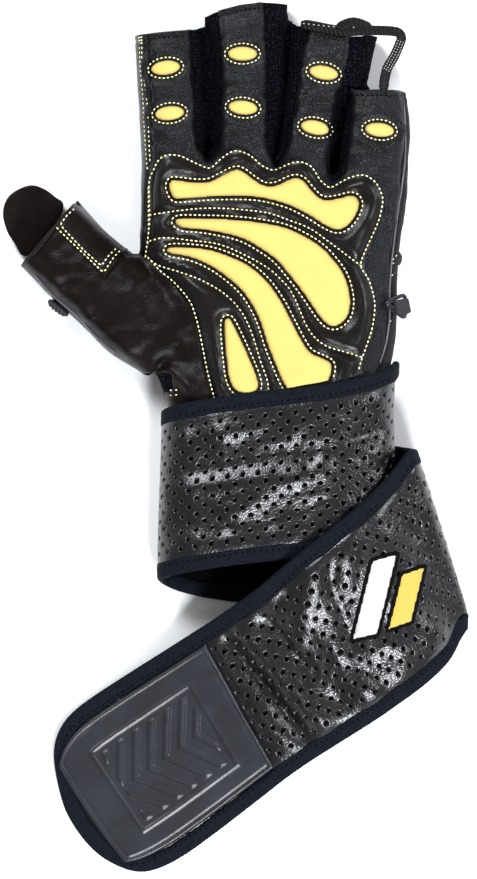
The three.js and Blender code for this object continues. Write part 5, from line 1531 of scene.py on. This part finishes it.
@dataclass
class WrapSurface:
    """The middle surface of the long band, as an even grid of places and normals."""

    row_pitch: float = 1.5
    end_swell: float = 3.2
    columns: int = 49
    sag: float = 0.08
    rounds: int = 160

    def __post_init__(self) -> None:
        """Winds, folds and lays the band."""
        edge, joint = BINDING_WIDTH / WRAP_WIDTH, 0.6 / WRAP_WIDTH
        self.shares = np.array([0, edge, edge + joint, 0.3, 0.5, 0.7, 1 - edge - joint, 1 - edge, 1])
        self.wrist = palm_section(-CUFF_DROP / PALM_LENGTH)
        self.fold_upper = np.array([self.wrist.right + FOLD_STAND_OFF, self._upper(1), 0])
        self.fold_lower = np.array([self.fold_upper[0] + FOLD_SLANT, self._lower(1), 0])
        self._densify(self._coarse())

    @staticmethod
    def _upper(turn: float) -> float:
        """The wound band's edge towards the fingers."""
        half = 1 - 2 * turn
        return CUFF_RISE * half ** CUFF_SWEEP if half > 0 else CUFF_DROP * half

    def _lower(self, turn: float) -> float:
        """The wound band's edge towards the forearm."""
        return self._upper(turn) - (CUFF_WIDTH + (WRAP_WIDTH - CUFF_WIDTH) * max(2 * turn - 1, 0))

    def _wound(self, turn: float) -> np.ndarray:
        """One row of the wound part."""
        row = []
        for share in self.shares:
            y = self._upper(turn) + (self._lower(turn) - self._upper(turn)) * share
            x, z, _ = palm_section(y / PALM_LENGTH).grown(WRAP_OFFSET).point(turn * 2 * math.pi)
            row.append((x, y, z))
        return np.array(row)

    def _ruled(self, upper: np.ndarray, lower: np.ndarray) -> np.ndarray:
        """A straight row between two places."""
        return upper + self.shares[:, None] * (lower - upper)

    def _fold(self, row: tuple[float, float, float, float]) -> np.ndarray:
        """One row of the fold.

        Args:
            row: upper back and rise, then lower back and rise.

        Returns:
            The row's places.
        """
        slope = CUFF_DROP / (self.wrist.right - self.wrist.left)
        rise = self.wrist.high + WRAP_OFFSET - FLOOR_LINE
        ends = []
        for base, back, up in ((self.fold_upper, row[0], row[1] * rise), (self.fold_lower, row[2],
                                                                          row[3] * LAYER_STEP)):
            shift = back * FOLD_STAND_OFF
            ends.append(base + (-shift, shift * slope, FLOOR_LINE + up))
        return self._ruled(*ends)

    def _tail(self, along: float, across: float) -> np.ndarray:
        """A place of the tail on the floor."""
        ahead = np.array([-math.cos(TAIL_TURN), -math.sin(TAIL_TURN), 0])
        aside = np.array([math.sin(TAIL_TURN), -math.cos(TAIL_TURN), 0])
        way = ahead * along * TAIL_LENGTH
        return self.fold_upper + way + aside * across * WRAP_WIDTH + (0, 0, FLOOR_LINE)

    def _support(self, x: float, y: float) -> float:
        """The lowest that the band's middle may lie at a place.

        Args:
            x: across.
            y: along the hand.

        Returns:
            The height.
        """
        left, right = self.wrist.left, self.wrist.right
        reach = min(max((right - x) / (right - left), 0), 1)
        height = FLOOR_LINE
        back = self._lower(1) + (self._lower(0.5) - self._lower(1)) * reach
        if y > back - 5 and x > left - 5:
            height += LAYER_STEP
        front = self._lower(0) + (self._lower(0.5) - self._lower(0)) * reach
        if y > front - 10 and left - 5 < x < right + WRAP_OFFSET + LAYER_STEP:
            section = palm_section(y / PALM_LENGTH).grown(WRAP_OFFSET + LAYER_STEP + 2 * FIT)
            centre, half = (section.left + section.right) / 2, (section.right - section.left) / 2
            away = min(abs(x - centre) / half, 1)
            waist = section.low + WAIST_SHARE * (section.high - section.low)
            arch = (1 - away ** ARCH_POWER) ** (1 / ARCH_POWER)
            height = max(height, waist + (section.high - waist) * arch)
        return height

    @staticmethod
    def _dense(rows: list[np.ndarray], steps: int) -> list[np.ndarray]:
        """Rows run smoothly through others.

        Args:
            rows: the rows run through.
            steps: how many steps are made.

        Returns:
            The new rows.
        """
        found = []
        for i in range(steps + 1):
            at = i / steps * (len(rows) - 1)
            k = min(int(at), len(rows) - 2)
            near = [rows[min(max(k + n, 0), len(rows) - 1)] for n in (-1, 0, 1, 2)]
            found.append(cubic(*near, at - k))
        return found

    def _coarse(self) -> np.ndarray:
        """The rows that carry the band's course.

        Returns:
            The rows, from the wound start to the tail's end.
        """
        wound = [self._wound(i / TURN_STEPS * WOUND_TURN) for i in range(TURN_STEPS + 1)]
        fold = self._dense([self._fold(row) for row in FOLD_ROWS], 11)
        tail = self._dense([self._ruled(self._tail(a, b), self._tail(c, d)) for a, b, c, d in TAIL_ROWS], 26)
        rows = [fold[-1], *tail]
        floor = [[self._support(x, y) for x, y, _ in row] for row in rows]
        last = len(self.shares) - 1
        for _ in range(self.rounds):
            for i in range(1, len(rows)):
                for j in range(last + 1):
                    behind = rows[i - 1][j][2]
                    along = (behind + rows[i + 1][j][2]) / 2 if i + 1 < len(rows) else behind
                    sides = rows[i][max(j - 1, 0)][2] + rows[i][min(j + 1, last)][2]
                    rows[i][j][2] = max(0.5 * along + 0.25 * sides - self.sag, floor[i][j])
        self.tail_start = TURN_STEPS + 1 + 12
        return np.array([*wound, *fold, *tail])

    def _densify(self, coarse: np.ndarray) -> None:
        """Fills in the even grid, and gives it its creases and normals.

        Args:
            coarse: the rows of the band's course.
        """
        fine = self._dense(list(coarse), (len(coarse) - 1) * 8)
        middle = np.array([row[4] for row in fine])
        reach = np.r_[0, np.cumsum(np.linalg.norm(np.diff(middle, axis=0), axis=1))]
        self.length = float(reach[-1])
        count = int(self.length / self.row_pitch) + 1
        want = np.linspace(0, self.length, count)
        flat = np.array(fine).reshape(len(fine), -1)
        rows = np.column_stack([np.interp(want, reach, flat[:, k]) for k in range(flat.shape[1])])
        rows = rows.reshape(count, len(self.shares), 3)
        across = np.linspace(0, 1, self.columns)
        self.place = np.stack([np.column_stack([np.interp(across, self.shares, row[:, k]) for k in range(3)])
                               for row in rows])
        self.tail_from = float(np.interp(self.tail_start * 8, range(len(reach)), reach))
        self._round_end(want, across)
        self.soften(5)
        self._find_normals()
        self._crease(want)
        self._find_normals()

    def _round_end(self, want: np.ndarray, across: np.ndarray) -> None:
        """Swells the tail's end outwards between its corners."""
        out = np.array([-math.cos(TAIL_TURN), -math.sin(TAIL_TURN), 0])
        share = np.clip((want - self.length + 34) / 34, 0, 1) ** 2
        swell = 1 - np.abs(2 * across - 1) ** 2.5
        self.place += self.end_swell * share[:, None, None] * swell[None, :, None] * out

    def soften(self, rounds: int) -> None:
        """Evens out the grid, with its borders held."""
        for _ in range(rounds):
            inner = self.place[1:-1]
            inner += 0.25 * (self.place[2:] + self.place[:-2] - 2 * inner)
            inner = self.place[:, 1:-1]
            inner += 0.25 * (self.place[:, 2:] + self.place[:, :-2] - 2 * inner)

    def _find_normals(self) -> None:
        """Works out the normals, out from the wrist."""
        ahead, across = np.gradient(self.place, axis=0), np.gradient(self.place, axis=1)
        found = np.cross(ahead, across)
        found /= np.linalg.norm(found, axis=2)[:, :, None] + 1e-12
        top = int(0.25 / WOUND_TURN * TURN_STEPS * 8 / (8 * (TURN_STEPS + 39)) * len(found))
        self.normal = found * np.sign(found[top, self.columns // 2, 2])

    def _crease(self, want: np.ndarray) -> None:
        """Raises the creases of the tail and of the cuff.

        Args:
            want: each row's millimetres along the band.
        """
        rows = np.repeat(want, self.columns)
        places = self.place.reshape(-1, 3)
        facing = np.clip(self.normal.reshape(-1, 3)[:, 2] * 1.5, 0, 1)
        on_tail = np.clip((rows - self.tail_from + 10) / 20, 0, 1)
        on_patch = np.clip((rows - self.length + 86) / 5, 0, 1)
        push = 1.7 * on_tail * (1 - on_patch)
        for folds, share in ((TAIL_FOLDS, on_tail * (1 - on_patch)), (CUFF_FOLDS, 1 - on_tail)):
            for x0, y0, x1, y1, width, height in folds:
                away = line_distance(places[:, :2], plan([(x0, y0), (x1, y1)]))
                push += height * bell(away, width) * share
        crumple = 0.5 * ripple(places, (14, 8), 4.4) + 0.4 * ripple(places, (6, 4), 9.1)
        crumple += 0.25 * np.abs(ripple(places, (3.5, 2.5), 6.7))
        push += (1 - 0.85 * on_patch) * crumple
        edge = np.tile(np.linspace(0, 1, self.columns), len(want))
        hold = np.clip(np.minimum(edge, 1 - edge) / 0.14, 0.35, 1)
        push *= facing * hold
        places += self.normal.reshape(-1, 3) * push[:, None]
        places[:, 2] = np.maximum(places[:, 2], FLOOR_LINE + 0.05)

    def at(self, row: np.ndarray, column: np.ndarray, lift: np.ndarray | float = 0.0) -> np.ndarray:
        """Places by millimetres along the band and the share across it.

        Args:
            row: millimetres along the band.
            column: the share across it.
            lift: millimetres off its middle surface.

        Returns:
            The places.
        """
        r = np.clip(np.asarray(row, float) / self.length * (len(self.place) - 1), 0, len(self.place) - 1.001)
        c = np.clip(np.asarray(column, float) * (self.columns - 1), 0, self.columns - 1.001)
        i, j = r.astype(int), c.astype(int)
        s, t = (r - i)[:, None], (c - j)[:, None]

        def blend(grid: np.ndarray) -> np.ndarray:
            """A grid's values between its four nearest places."""
            near = grid[i, j] * (1 - t) + grid[i, j + 1] * t
            far = grid[i + 1, j] * (1 - t) + grid[i + 1, j + 1] * t
            return near * (1 - s) + far * s

        normal = blend(self.normal)
        normal /= np.linalg.norm(normal, axis=1)[:, None] + 1e-12
        return blend(self.place) + normal * np.broadcast_to(np.asarray(lift, float), (len(r),))[:, None]


def surface_grid(along: int, across: int, place: Callable[[np.ndarray, np.ndarray], np.ndarray],
                 size: tuple[float, float]) -> bmesh.types.BMesh:
    """A grid laid on a surface.

    Args:
        along: faces along it.
        across: faces across it.
        place: gives places from two arrays of shares.
        size: its length and width in millimetres, for its UV map.

    Returns:
        The mesh.
    """
    bm = bmesh.new()
    layer = bm.loops.layers.uv.new("UVMap")
    bmesh.ops.create_grid(bm, x_segments=along, y_segments=across, size=1.0)
    shares = np.array([((vert.co.x + 1) / 2, (vert.co.y + 1) / 2) for vert in bm.verts])
    for face in bm.faces:
        for loop in face.loops:
            loop[layer].uv = ((loop.vert.co.x + 1) / 2 * size[0], (loop.vert.co.y + 1) / 2 * size[1])
    for vert, found in zip(bm.verts, place(shares[:, 0], shares[:, 1])):
        vert.co = found
    return bm


@dataclass
class WristWrap:
    """The perforated band, its binding tape, the rubber end patch and the embroidered bars."""

    surface: WrapSurface
    stitching: Stitching
    hole_along: float = 3.05
    hole_across: float = 3.25
    hole_share: float = 0.78
    dimple_inset: float = 0.3
    dimple_depth: float = 0.3
    hole_depth: float = 1.3
    patch_length: float = 82.0
    patch_rise: float = 1.4
    inward_step: float = 6.0
    tape_stitch: float = 4.9
    flat: tuple[float, float] = (0.0, 0.0)

    def make(self) -> None:
        """Builds each piece of the wrap."""
        band = self._band()
        self._binding()
        self._patch()
        self.sew_binding()

    def _band(self) -> bpy.types.Object:
        """The perforated leather, with every other cell sunk as a hole; the hole bottoms and the underside
        get near-black painted shade.

        Returns:
            The piece.
        """
        edge = (BINDING_WIDTH - 1.2) / WRAP_WIDTH
        length = self.surface.length - BINDING_WIDTH + 1
        width = WRAP_WIDTH * (1 - 2 * edge)
        along, across = int(length / self.hole_along), int(width / self.hole_across)

        def sheet(lift: float) -> Callable[[np.ndarray, np.ndarray], np.ndarray]:
            """Gives the band's places at a lift off its middle."""
            return lambda s, t: self.surface.at(s * length, edge + t * (1 - 2 * edge), lift)

        half = BAND_THICKNESS / 2
        bm = surface_grid(along, across, sheet(half), (length, width))
        bm.faces.ensure_lookup_table()
        layer = bm.loops.layers.uv.active
        holes = []
        for face in bm.faces:
            u, v = np.mean([loop[layer].uv for loop in face.loops], axis=0)
            i, j = int(u / (length / along)), int(v / (width / across))
            if (i + j) % 2 == 0 and 0 < i < along - 1 and 0 < j < across - 1:
                if u < length - self.patch_length + 4:
                    holes.append(face)
        bm.normal_update()
        bmesh.ops.inset_individual(bm, faces=holes, thickness=self.dimple_inset, depth=0.0,
                                   use_even_offset=True)
        bmesh.ops.inset_individual(bm, faces=holes, thickness=self.hole_share - self.dimple_inset,
                                   depth=-self.dimple_depth, use_even_offset=True)
        bmesh.ops.inset_individual(bm, faces=holes, thickness=0.12, depth=0.0, use_even_offset=True)
        # The hole bottoms take slot 1, the near-black painted shade.
        for face in holes:
            face.material_index = 1
            for vert in face.verts:
                vert.co -= face.normal * self.hole_depth
        bottom = surface_grid(along, across, sheet(-half), (length, width))
        bmesh.ops.reverse_faces(bottom, faces=bottom.faces)
        # The underside takes the same near-black painted shade.
        for face in bottom.faces:
            face.material_index = 1
        join_into(bm, bottom)
        rim = [side for side in bm.edges if side.is_boundary]
        bmesh.ops.bridge_loops(bm, edges=rim)
        bmesh.ops.recalc_face_normals(bm, faces=bm.faces)
        piece = build(bm, "wrist_wrap_leather", BAND_LEATHER, ["wrist_wrap"])
        # Slot 1: near-black painted shade for the underside and the hole bottoms.
        piece.data.materials.append(SHADE_BLACK.material())
        self.flat = (width / 1000, length / 1000)
        add_modifier(piece, "SUBSURF", levels=1, render_levels=1)
        return piece

    def _path(self) -> tuple[np.ndarray, np.ndarray]:
        """The band's free edge: along the upper side, round the end and back, as rows and shares."""
        length = self.surface.length
        rows = np.arange(0, length, 2.5)
        turn = np.linspace(0.02, 0.98, 14)
        row = np.r_[rows, np.full(len(turn), length), rows[::-1]]
        share = np.r_[np.zeros(len(rows)), turn, np.ones(len(rows))]
        return row, share

    def _binding(self) -> bpy.types.Object:
        """The folded tape round the band's edges.

        Returns:
            The piece.
        """
        row, share = self._path()
        source = self.surface.at(row, share)
        rim = np.column_stack([source, self.surface.at(row, share, 1.0) - source,
                               self.surface.at(row - self.inward_step * (row > self.surface.length - 0.1),
                                               0.5 + (share - 0.5) * 0.86) - source])
        reach = np.r_[0, np.cumsum(np.linalg.norm(np.diff(source, axis=0), axis=1))]
        want = np.linspace(0, reach[-1], int(reach[-1] / 2.4))
        rim = np.column_stack([np.interp(want, reach, rim[:, k]) for k in range(9)])
        for _ in range(3):
            rim[1:-1] += 0.25 * (rim[2:] + rim[:-2] - 2 * rim[1:-1])
        centre, up, inward = rim[:, :3], rim[:, 3:6], rim[:, 6:]
        ahead = np.gradient(centre, axis=0)
        ahead /= np.linalg.norm(ahead, axis=1)[:, None]
        inward = inward - (inward * ahead).sum(axis=1)[:, None] * ahead
        inward /= np.linalg.norm(inward, axis=1)[:, None]
        up = up - (up * ahead).sum(axis=1)[:, None] * ahead
        up = up - (up * inward).sum(axis=1)[:, None] * inward
        up /= np.linalg.norm(up, axis=1)[:, None]
        half = BINDING_THICKNESS / 2
        profile = [(BINDING_WIDTH, 0.35), (BINDING_WIDTH - 0.3, half - 0.1),
                   (BINDING_WIDTH - 1.4, half + 0.1), (3.4, half),
                   (1.4, half), (0.5, half * 0.85), (0.0, half * 0.4), (0.0, -half * 0.4),
                   (0.5, -half * 0.85), (1.4, -half), (3.4, -half), (BINDING_WIDTH - 0.5, -half),
                   (BINDING_WIDTH, -0.5)]
        rings = []
        for i, place in enumerate(centre):
            wave = 0.1 * math.sin(i * 0.9) + 0.08 * math.sin(i * 2.3)
            ring = [place + inward[i] * (a + (wave if a > 3 else 0)) + up[i] * b for a, b in profile]
            ring = np.array(ring)
            ring[:, 2] = np.maximum(ring[:, 2], 0.02)
            rings.append(ring)
        tape = extruded_rings(rings, uv_step=2.4)
        return build(tape, "wrap_binding_tape", BINDING_TAPE, ["wrap_binding"])

    def _patch(self) -> bpy.types.Object:
        """The rubber end patch, with a border groove and plain raised ribs.

        Returns:
            The piece.
        """
        edge = (BINDING_WIDTH + 0.2) / WRAP_WIDTH
        start, end = self.surface.length - self.patch_length, self.surface.length - BINDING_WIDTH - 0.4
        length, width = end - start, WRAP_WIDTH * (1 - 2 * edge)
        base = BAND_THICKNESS / 2 + 0.3

        def place(s: np.ndarray, t: np.ndarray) -> np.ndarray:
            """The patch's face by shares of its length and width."""
            a, b = s * length, t * width
            border = np.minimum.reduce([a, length - a, b, width - b])
            lift = self.patch_rise * np.clip(border / 0.9, 0, 1) ** 0.5
            lift = lift - 0.45 * bell(border - 2.4, 0.45)
            u, v = a - length * 0.5, b - width / 2
            frame_ = np.maximum(np.abs(u) - 24, np.abs(v) - 19)
            lift = lift + 0.55 * bell(frame_, 0.7)
            ribs = np.cos((u + np.abs(v) * 0.7) * 2 * math.pi / 7.5)
            lift = lift + 0.75 * np.clip(ribs * 2.2 - 0.4, 0, 1) * (frame_ < -3.0)
            return self.surface.at(start + a, edge + t * (1 - 2 * edge), base + lift)

        bm = surface_grid(150, 110, place, (length, width))
        bm.normal_update()
        if sum(face.normal.z for face in bm.faces) < 0:
            bmesh.ops.reverse_faces(bm, faces=bm.faces)
        piece = build(bm, "end_patch_rubber", PATCH_RUBBER, ["end_patch"])
        thicken(piece, 1.0)
        return piece

    def sew_binding(self) -> None:
        """The dark row of stitches that holds the tape, where it faces up."""
        along = np.arange(6.0, self.surface.length - 8, 1.0)
        for share in (self.tape_stitch / WRAP_WIDTH, 1 - self.tape_stitch / WRAP_WIDTH):
            column = np.full(len(along), share)
            middle = self.surface.at(along, column)
            line = self.surface.at(along, column, BINDING_THICKNESS / 2 + 0.1)
            seen = line[:, 2] - middle[:, 2] > 0.7 * BINDING_THICKNESS / 2
            for run in np.split(np.arange(len(along)), np.flatnonzero(np.diff(seen.astype(int))) + 1):
                if seen[run[0]] and len(run) > 8:
                    self.stitching.sew(DARK_THREAD, line[run][:, :2], height_beside(line[run]), pitch=2.4)

    def embroider(self, ground: HeightField) -> None:
        """The slanted satin-stitched bars on the tail.

        Args:
            ground: the height of the laid band.
        """
        bars = (("dark", DARK_THREAD, [(352, 640), (372, 560), (398, 553), (378, 634)], 1.1, 0.4),
                ("white", WHITE_THREAD, [(352, 640), (372, 560), (398, 553), (378, 634)], 0.0, 0.9),
                ("dark_low", DARK_THREAD, [(388, 630), (402, 574), (426, 566), (412, 622)], 1.1, 0.4),
                ("yellow", YELLOW_THREAD, [(388, 630), (402, 574), (426, 566), (412, 622)], 0.0, 0.9))
        for name, thread, corners, grow, rise in bars:
            outline = even_line(offset_line(even_line(plan(corners), 1.0, True), grow), 1.0, True)
            bm = flat_mesh(outline, 1.0)
            places = plan_of(bm)
            away = line_distance(places, outline, True)
            raise_to(bm, ground.at(places) + 0.1 + rise * np.sqrt(np.clip(away / 1.6, 0, 1)))
            map_plan(bm, 0.2, True)
            piece = build(bm, f"satin_bar_{name}", thread)
            thicken(piece, 0.5)


@dataclass
class Fittings:
    """The lace between the fingers and the small fittings of the outer edge."""

    ground: HeightField
    stitching: Stitching
    lace_width: float = 4.0
    lace_thickness: float = 1.2
    wire: float = 0.85

    def make(self) -> None:
        """Builds the lace, the ring, its webbing, the loop and the outer piping."""
        self._lace()
        self._ring()
        self._webbing()
        self._loop()
        line = smooth_line(plan([(404, 95), (406, 130), (405.5, 160), (402, 190), (399, 205), (396, 230),
                                 (392, 265), (390, 293), (390, 320), (386, 345), (380, 364)]), 2.0)
        tube_along(line, self.ground.at(line) + 0.15, 0.38, "outer_piping", PIPING_LEATHER, 1.0)

    def _lace(self) -> None:
        """The flat woven loop over the ring finger's hem and down to the little finger's."""
        route = self._lace_route([(301, 24), (315, 26.5), (330, 29.5), (345, 32), (356, 31.5), (368, 31),
                                  (380, 31), (392, 31.5), (399, 33), (402, 38), (399, 47), (394, 58),
                                  (388, 68), (385, 80), (384, 92)],
                                 [22.6, 22.9, 23.2, 23.6, 24, 24, 23.6, 23, 22.4, 22, 21.8, 21.8, 21.8, 21.8,
                                  20.5])
        hump = self._lace_route([(337, 29), (343, 26), (351, 23), (358, 23.5), (366, 26.5), (372, 30)],
                                [23.4, 24, 24.2, 24.2, 24, 23.4])
        bm = self._lace_tube(route)
        join_into(bm, self._lace_tube(hump))
        build(bm, "pull_lace", LACE_CLOTH, ["pull_loop"])
        height = height_beside(route)
        self.stitching.sew(WHITE_THREAD, plan([(304, 24), (330, 27), (354, 28)]), height, lift=0.72,
                           scale=0.6, pitch=2.0)
        for aside in (-1.1, 0.0, 1.1):
            line = offset_line(plan([(401, 42), (397, 52), (391, 63), (387, 70)]), aside, False)
            self.stitching.sew(WHITE_THREAD, smooth_line(line, 0.8), height, lift=0.66, scale=0.5, pitch=1.1)

    @staticmethod
    def _lace_route(course: Sequence[tuple[float, float]], heights: Sequence[float]) -> np.ndarray:
        """A smooth route from plan steps and heights."""
        return smooth_line(np.column_stack([plan(course), heights]), 1.2)

    def _lace_tube(self, route: np.ndarray) -> bmesh.types.BMesh:
        """The flat lace along a route, kept over the leather.

        Args:
            route: places in space along the lace.

        Returns:
            The lace's tube.
        """
        ahead = np.gradient(route, axis=0)
        ahead[:, 2] = 0
        ahead /= np.linalg.norm(ahead, axis=1)[:, None]
        rings = []
        for i, (place, way) in enumerate(zip(route, ahead)):
            side = np.array([-way[1], way[0], 0])
            low = self.ground.at(place[None, :2])[0] + self.lace_thickness / 2 + 0.15
            middle = np.array([place[0], place[1], max(place[2], low)])
            half = self.lace_width / 2 * min(1, 0.55 + 0.3 * min(i, len(route) - 1 - i))
            thick = self.lace_thickness / 2
            profile = ((-half, 0), (-half + 0.3, thick), (0, thick * 1.15), (half - 0.3, thick), (half, 0),
                       (half - 0.3, -thick), (0, -thick), (-half + 0.3, -thick))
            rings.append(np.array([middle + side * a + (0, 0, b) for a, b in profile]))
        return extruded_rings(rings, uv_step=1.2)

    def _ring(self) -> None:
        """The triangular ring, round in section and with rounded corners."""
        corners = plan([(385, 303), (406, 294), (406, 319)])
        dense = []
        for i in range(3):
            before, here, after = corners[i - 1], corners[i], corners[(i + 1) % 3]
            toward_b = (before - here) / np.linalg.norm(before - here)
            toward_a = (after - here) / np.linalg.norm(after - here)
            start, end = here + toward_b * 2.0, here + toward_a * 2.0
            dense += [(1 - t) ** 2 * start + 2 * t * (1 - t) * here + t * t * end
                      for t in np.linspace(0, 1, 7)]
        path = even_line(np.array(dense), 0.8, True)
        ahead = np.roll(path, -1, axis=0) - np.roll(path, 1, axis=0)
        ahead /= np.linalg.norm(ahead, axis=1)[:, None]
        low, high = path[:, 0].min(), path[:, 0].max()
        rings = []
        for place, way in zip(path, ahead):
            height = 24.0 - 7.0 * (place[0] - low) / (high - low)
            ring = []
            for k in range(10):
                angle = 2 * math.pi * k / 10
                out = self.wire * math.cos(angle)
                ring.append((place[0] - way[1] * out, place[1] + way[0] * out,
                             height + self.wire * math.sin(angle)))
            rings.append(np.array(ring))
        rings.append(rings[0])
        bm = extruded_rings(rings, caps=False)
        bmesh.ops.remove_doubles(bm, verts=bm.verts, dist=0.01)
        bmesh.ops.recalc_face_normals(bm, faces=bm.faces)
        build(bm, "side_ring_nylon", RING_NYLON, ["side_ring"])

    def _webbing(self) -> None:
        """The folded webbing that holds the ring."""
        outline = plan([(396, 301), (409, 298), (412, 312), (405, 316), (398, 314)])
        bm = flat_mesh(even_line(outline, 0.8, True), 1.0)
        places = plan_of(bm)
        raise_to(bm, 24.6 - 0.75 * (places[:, 0] - places[:, 0].min()))
        map_plan(bm)
        piece = build(bm, "side_webbing_cloth", WEBBING_CLOTH, ["side_webbing"])
        thicken(piece, 1.6, 0.3)
        self.stitching.sew(THREAD, even_line(plan([(391, 321), (398, 317)]), 0.8), self.ground.at, scale=0.8)

    def _loop(self) -> None:
        """The stitched end of a small loop in the outer seam."""
        middle = plan([(398.5, 258)])[0]
        bm = bmesh.new()
        form = Matrix.Translation((*middle, 12)) @ Matrix.Diagonal((1.9, 2.9, 2.2, 1))
        bmesh.ops.create_uvsphere(bm, u_segments=16, v_segments=10, radius=1.0, matrix=form)
        build(bm, "side_loop_cloth", WEBBING_CLOTH, ["side_loop"])
        for row in ([(394, 259), (400, 252)], [(394, 263), (401, 257)], [(393, 275), (400, 268)]):
            self.stitching.sew(THREAD, even_line(plan(row), 0.8), self.ground.at, lift=0.3, scale=0.8)


@dataclass
class Studio:
    """A white floor, soft lights and the camera straight above."""

    rows: int = 879
    step: float = 0.0004
    height: float = 3.0
    focus: float = 0.02

    def make(self) -> None:
        """Builds the floor, the lights and the camera."""
        bm = bmesh.new()
        bmesh.ops.create_grid(bm, x_segments=1, y_segments=1, size=2.0)
        mesh = bpy.data.meshes.new("studio_floor")
        bm.to_mesh(mesh)
        bm.free()
        floor = bpy.data.objects.new("studio_floor", mesh)
        bpy.context.scene.collection.objects.link(floor)
        mesh.materials.append(FLOOR_PAPER.material())
        world = bpy.data.worlds.new("studio")
        world.use_nodes = True
        world.node_tree.nodes["Background"].inputs["Color"].default_value = (1, 1, 1, 1)
        world.node_tree.nodes["Background"].inputs["Strength"].default_value = 0.3
        bpy.context.scene.world = world
        for name, place, size, power in (("key", (-0.45, 0.8, 0.85), 0.4, 16.0),
                                         ("side", (0.9, 0.3, 0.7), 0.3, 7.0),
                                         ("low", (0.3, -0.85, 0.85), 0.28, 20.0)):
            light = bpy.data.lights.new(name, "AREA")
            light.size = size
            light.energy = power
            light.color = (0.93, 0.96, 1.0)
            lamp = bpy.data.objects.new(name, light)
            lamp.location = place
            lamp.rotation_euler = (Vector(place)).to_track_quat("Z", "Y").to_euler()
            bpy.context.scene.collection.objects.link(lamp)
        camera = bpy.data.cameras.new("camera")
        camera.sensor_fit = "VERTICAL"
        camera.sensor_height = 24
        camera.lens = 24 * (self.height - self.focus) / (self.rows * self.step)
        eye = bpy.data.objects.new("camera", camera)
        middle = TO_FRAME @ Vector((*plan([(238.5, 439.5)])[0], 0))
        eye.location = (middle.x, middle.y, self.height)
        bpy.context.scene.collection.objects.link(eye)
        bpy.context.scene.camera = eye
        bpy.context.scene.view_settings.view_transform = "Standard"


def main() -> None:
    """Builds the glove and the studio, in order."""
    logging.basicConfig(level=logging.INFO, format="%(message)s")
    stitching = Stitching()
    shell = HandShell().make()
    ground = HeightField(shell, (-52, -26), (112, 164))
    LOG.info("hand shell ready")
    PalmCover(ground, stitching).make()
    FingerGrips(ground, stitching).make()
    Thumb(ground, stitching).make()
    surface = WrapSurface()
    wrap = WristWrap(surface, stitching)
    wrap.make()
    places = surface.place.reshape(-1, 3) + surface.normal.reshape(-1, 3) * (BAND_THICKNESS / 2)
    rows, columns = surface.place.shape[:2]
    faces = [(i * columns + j, i * columns + j + 1, (i + 1) * columns + j + 1, (i + 1) * columns + j)
             for i in range(rows - 1) for j in range(columns - 1)]
    laid = HeightField(BVHTree.FromPolygons([tuple(p) for p in places], faces), (75, -105), (125, -50))
    wrap.embroider(laid)
    Fittings(ground, stitching).make()
    stitching.make()
    Studio().make()


if __name__ == "__main__":
    main()
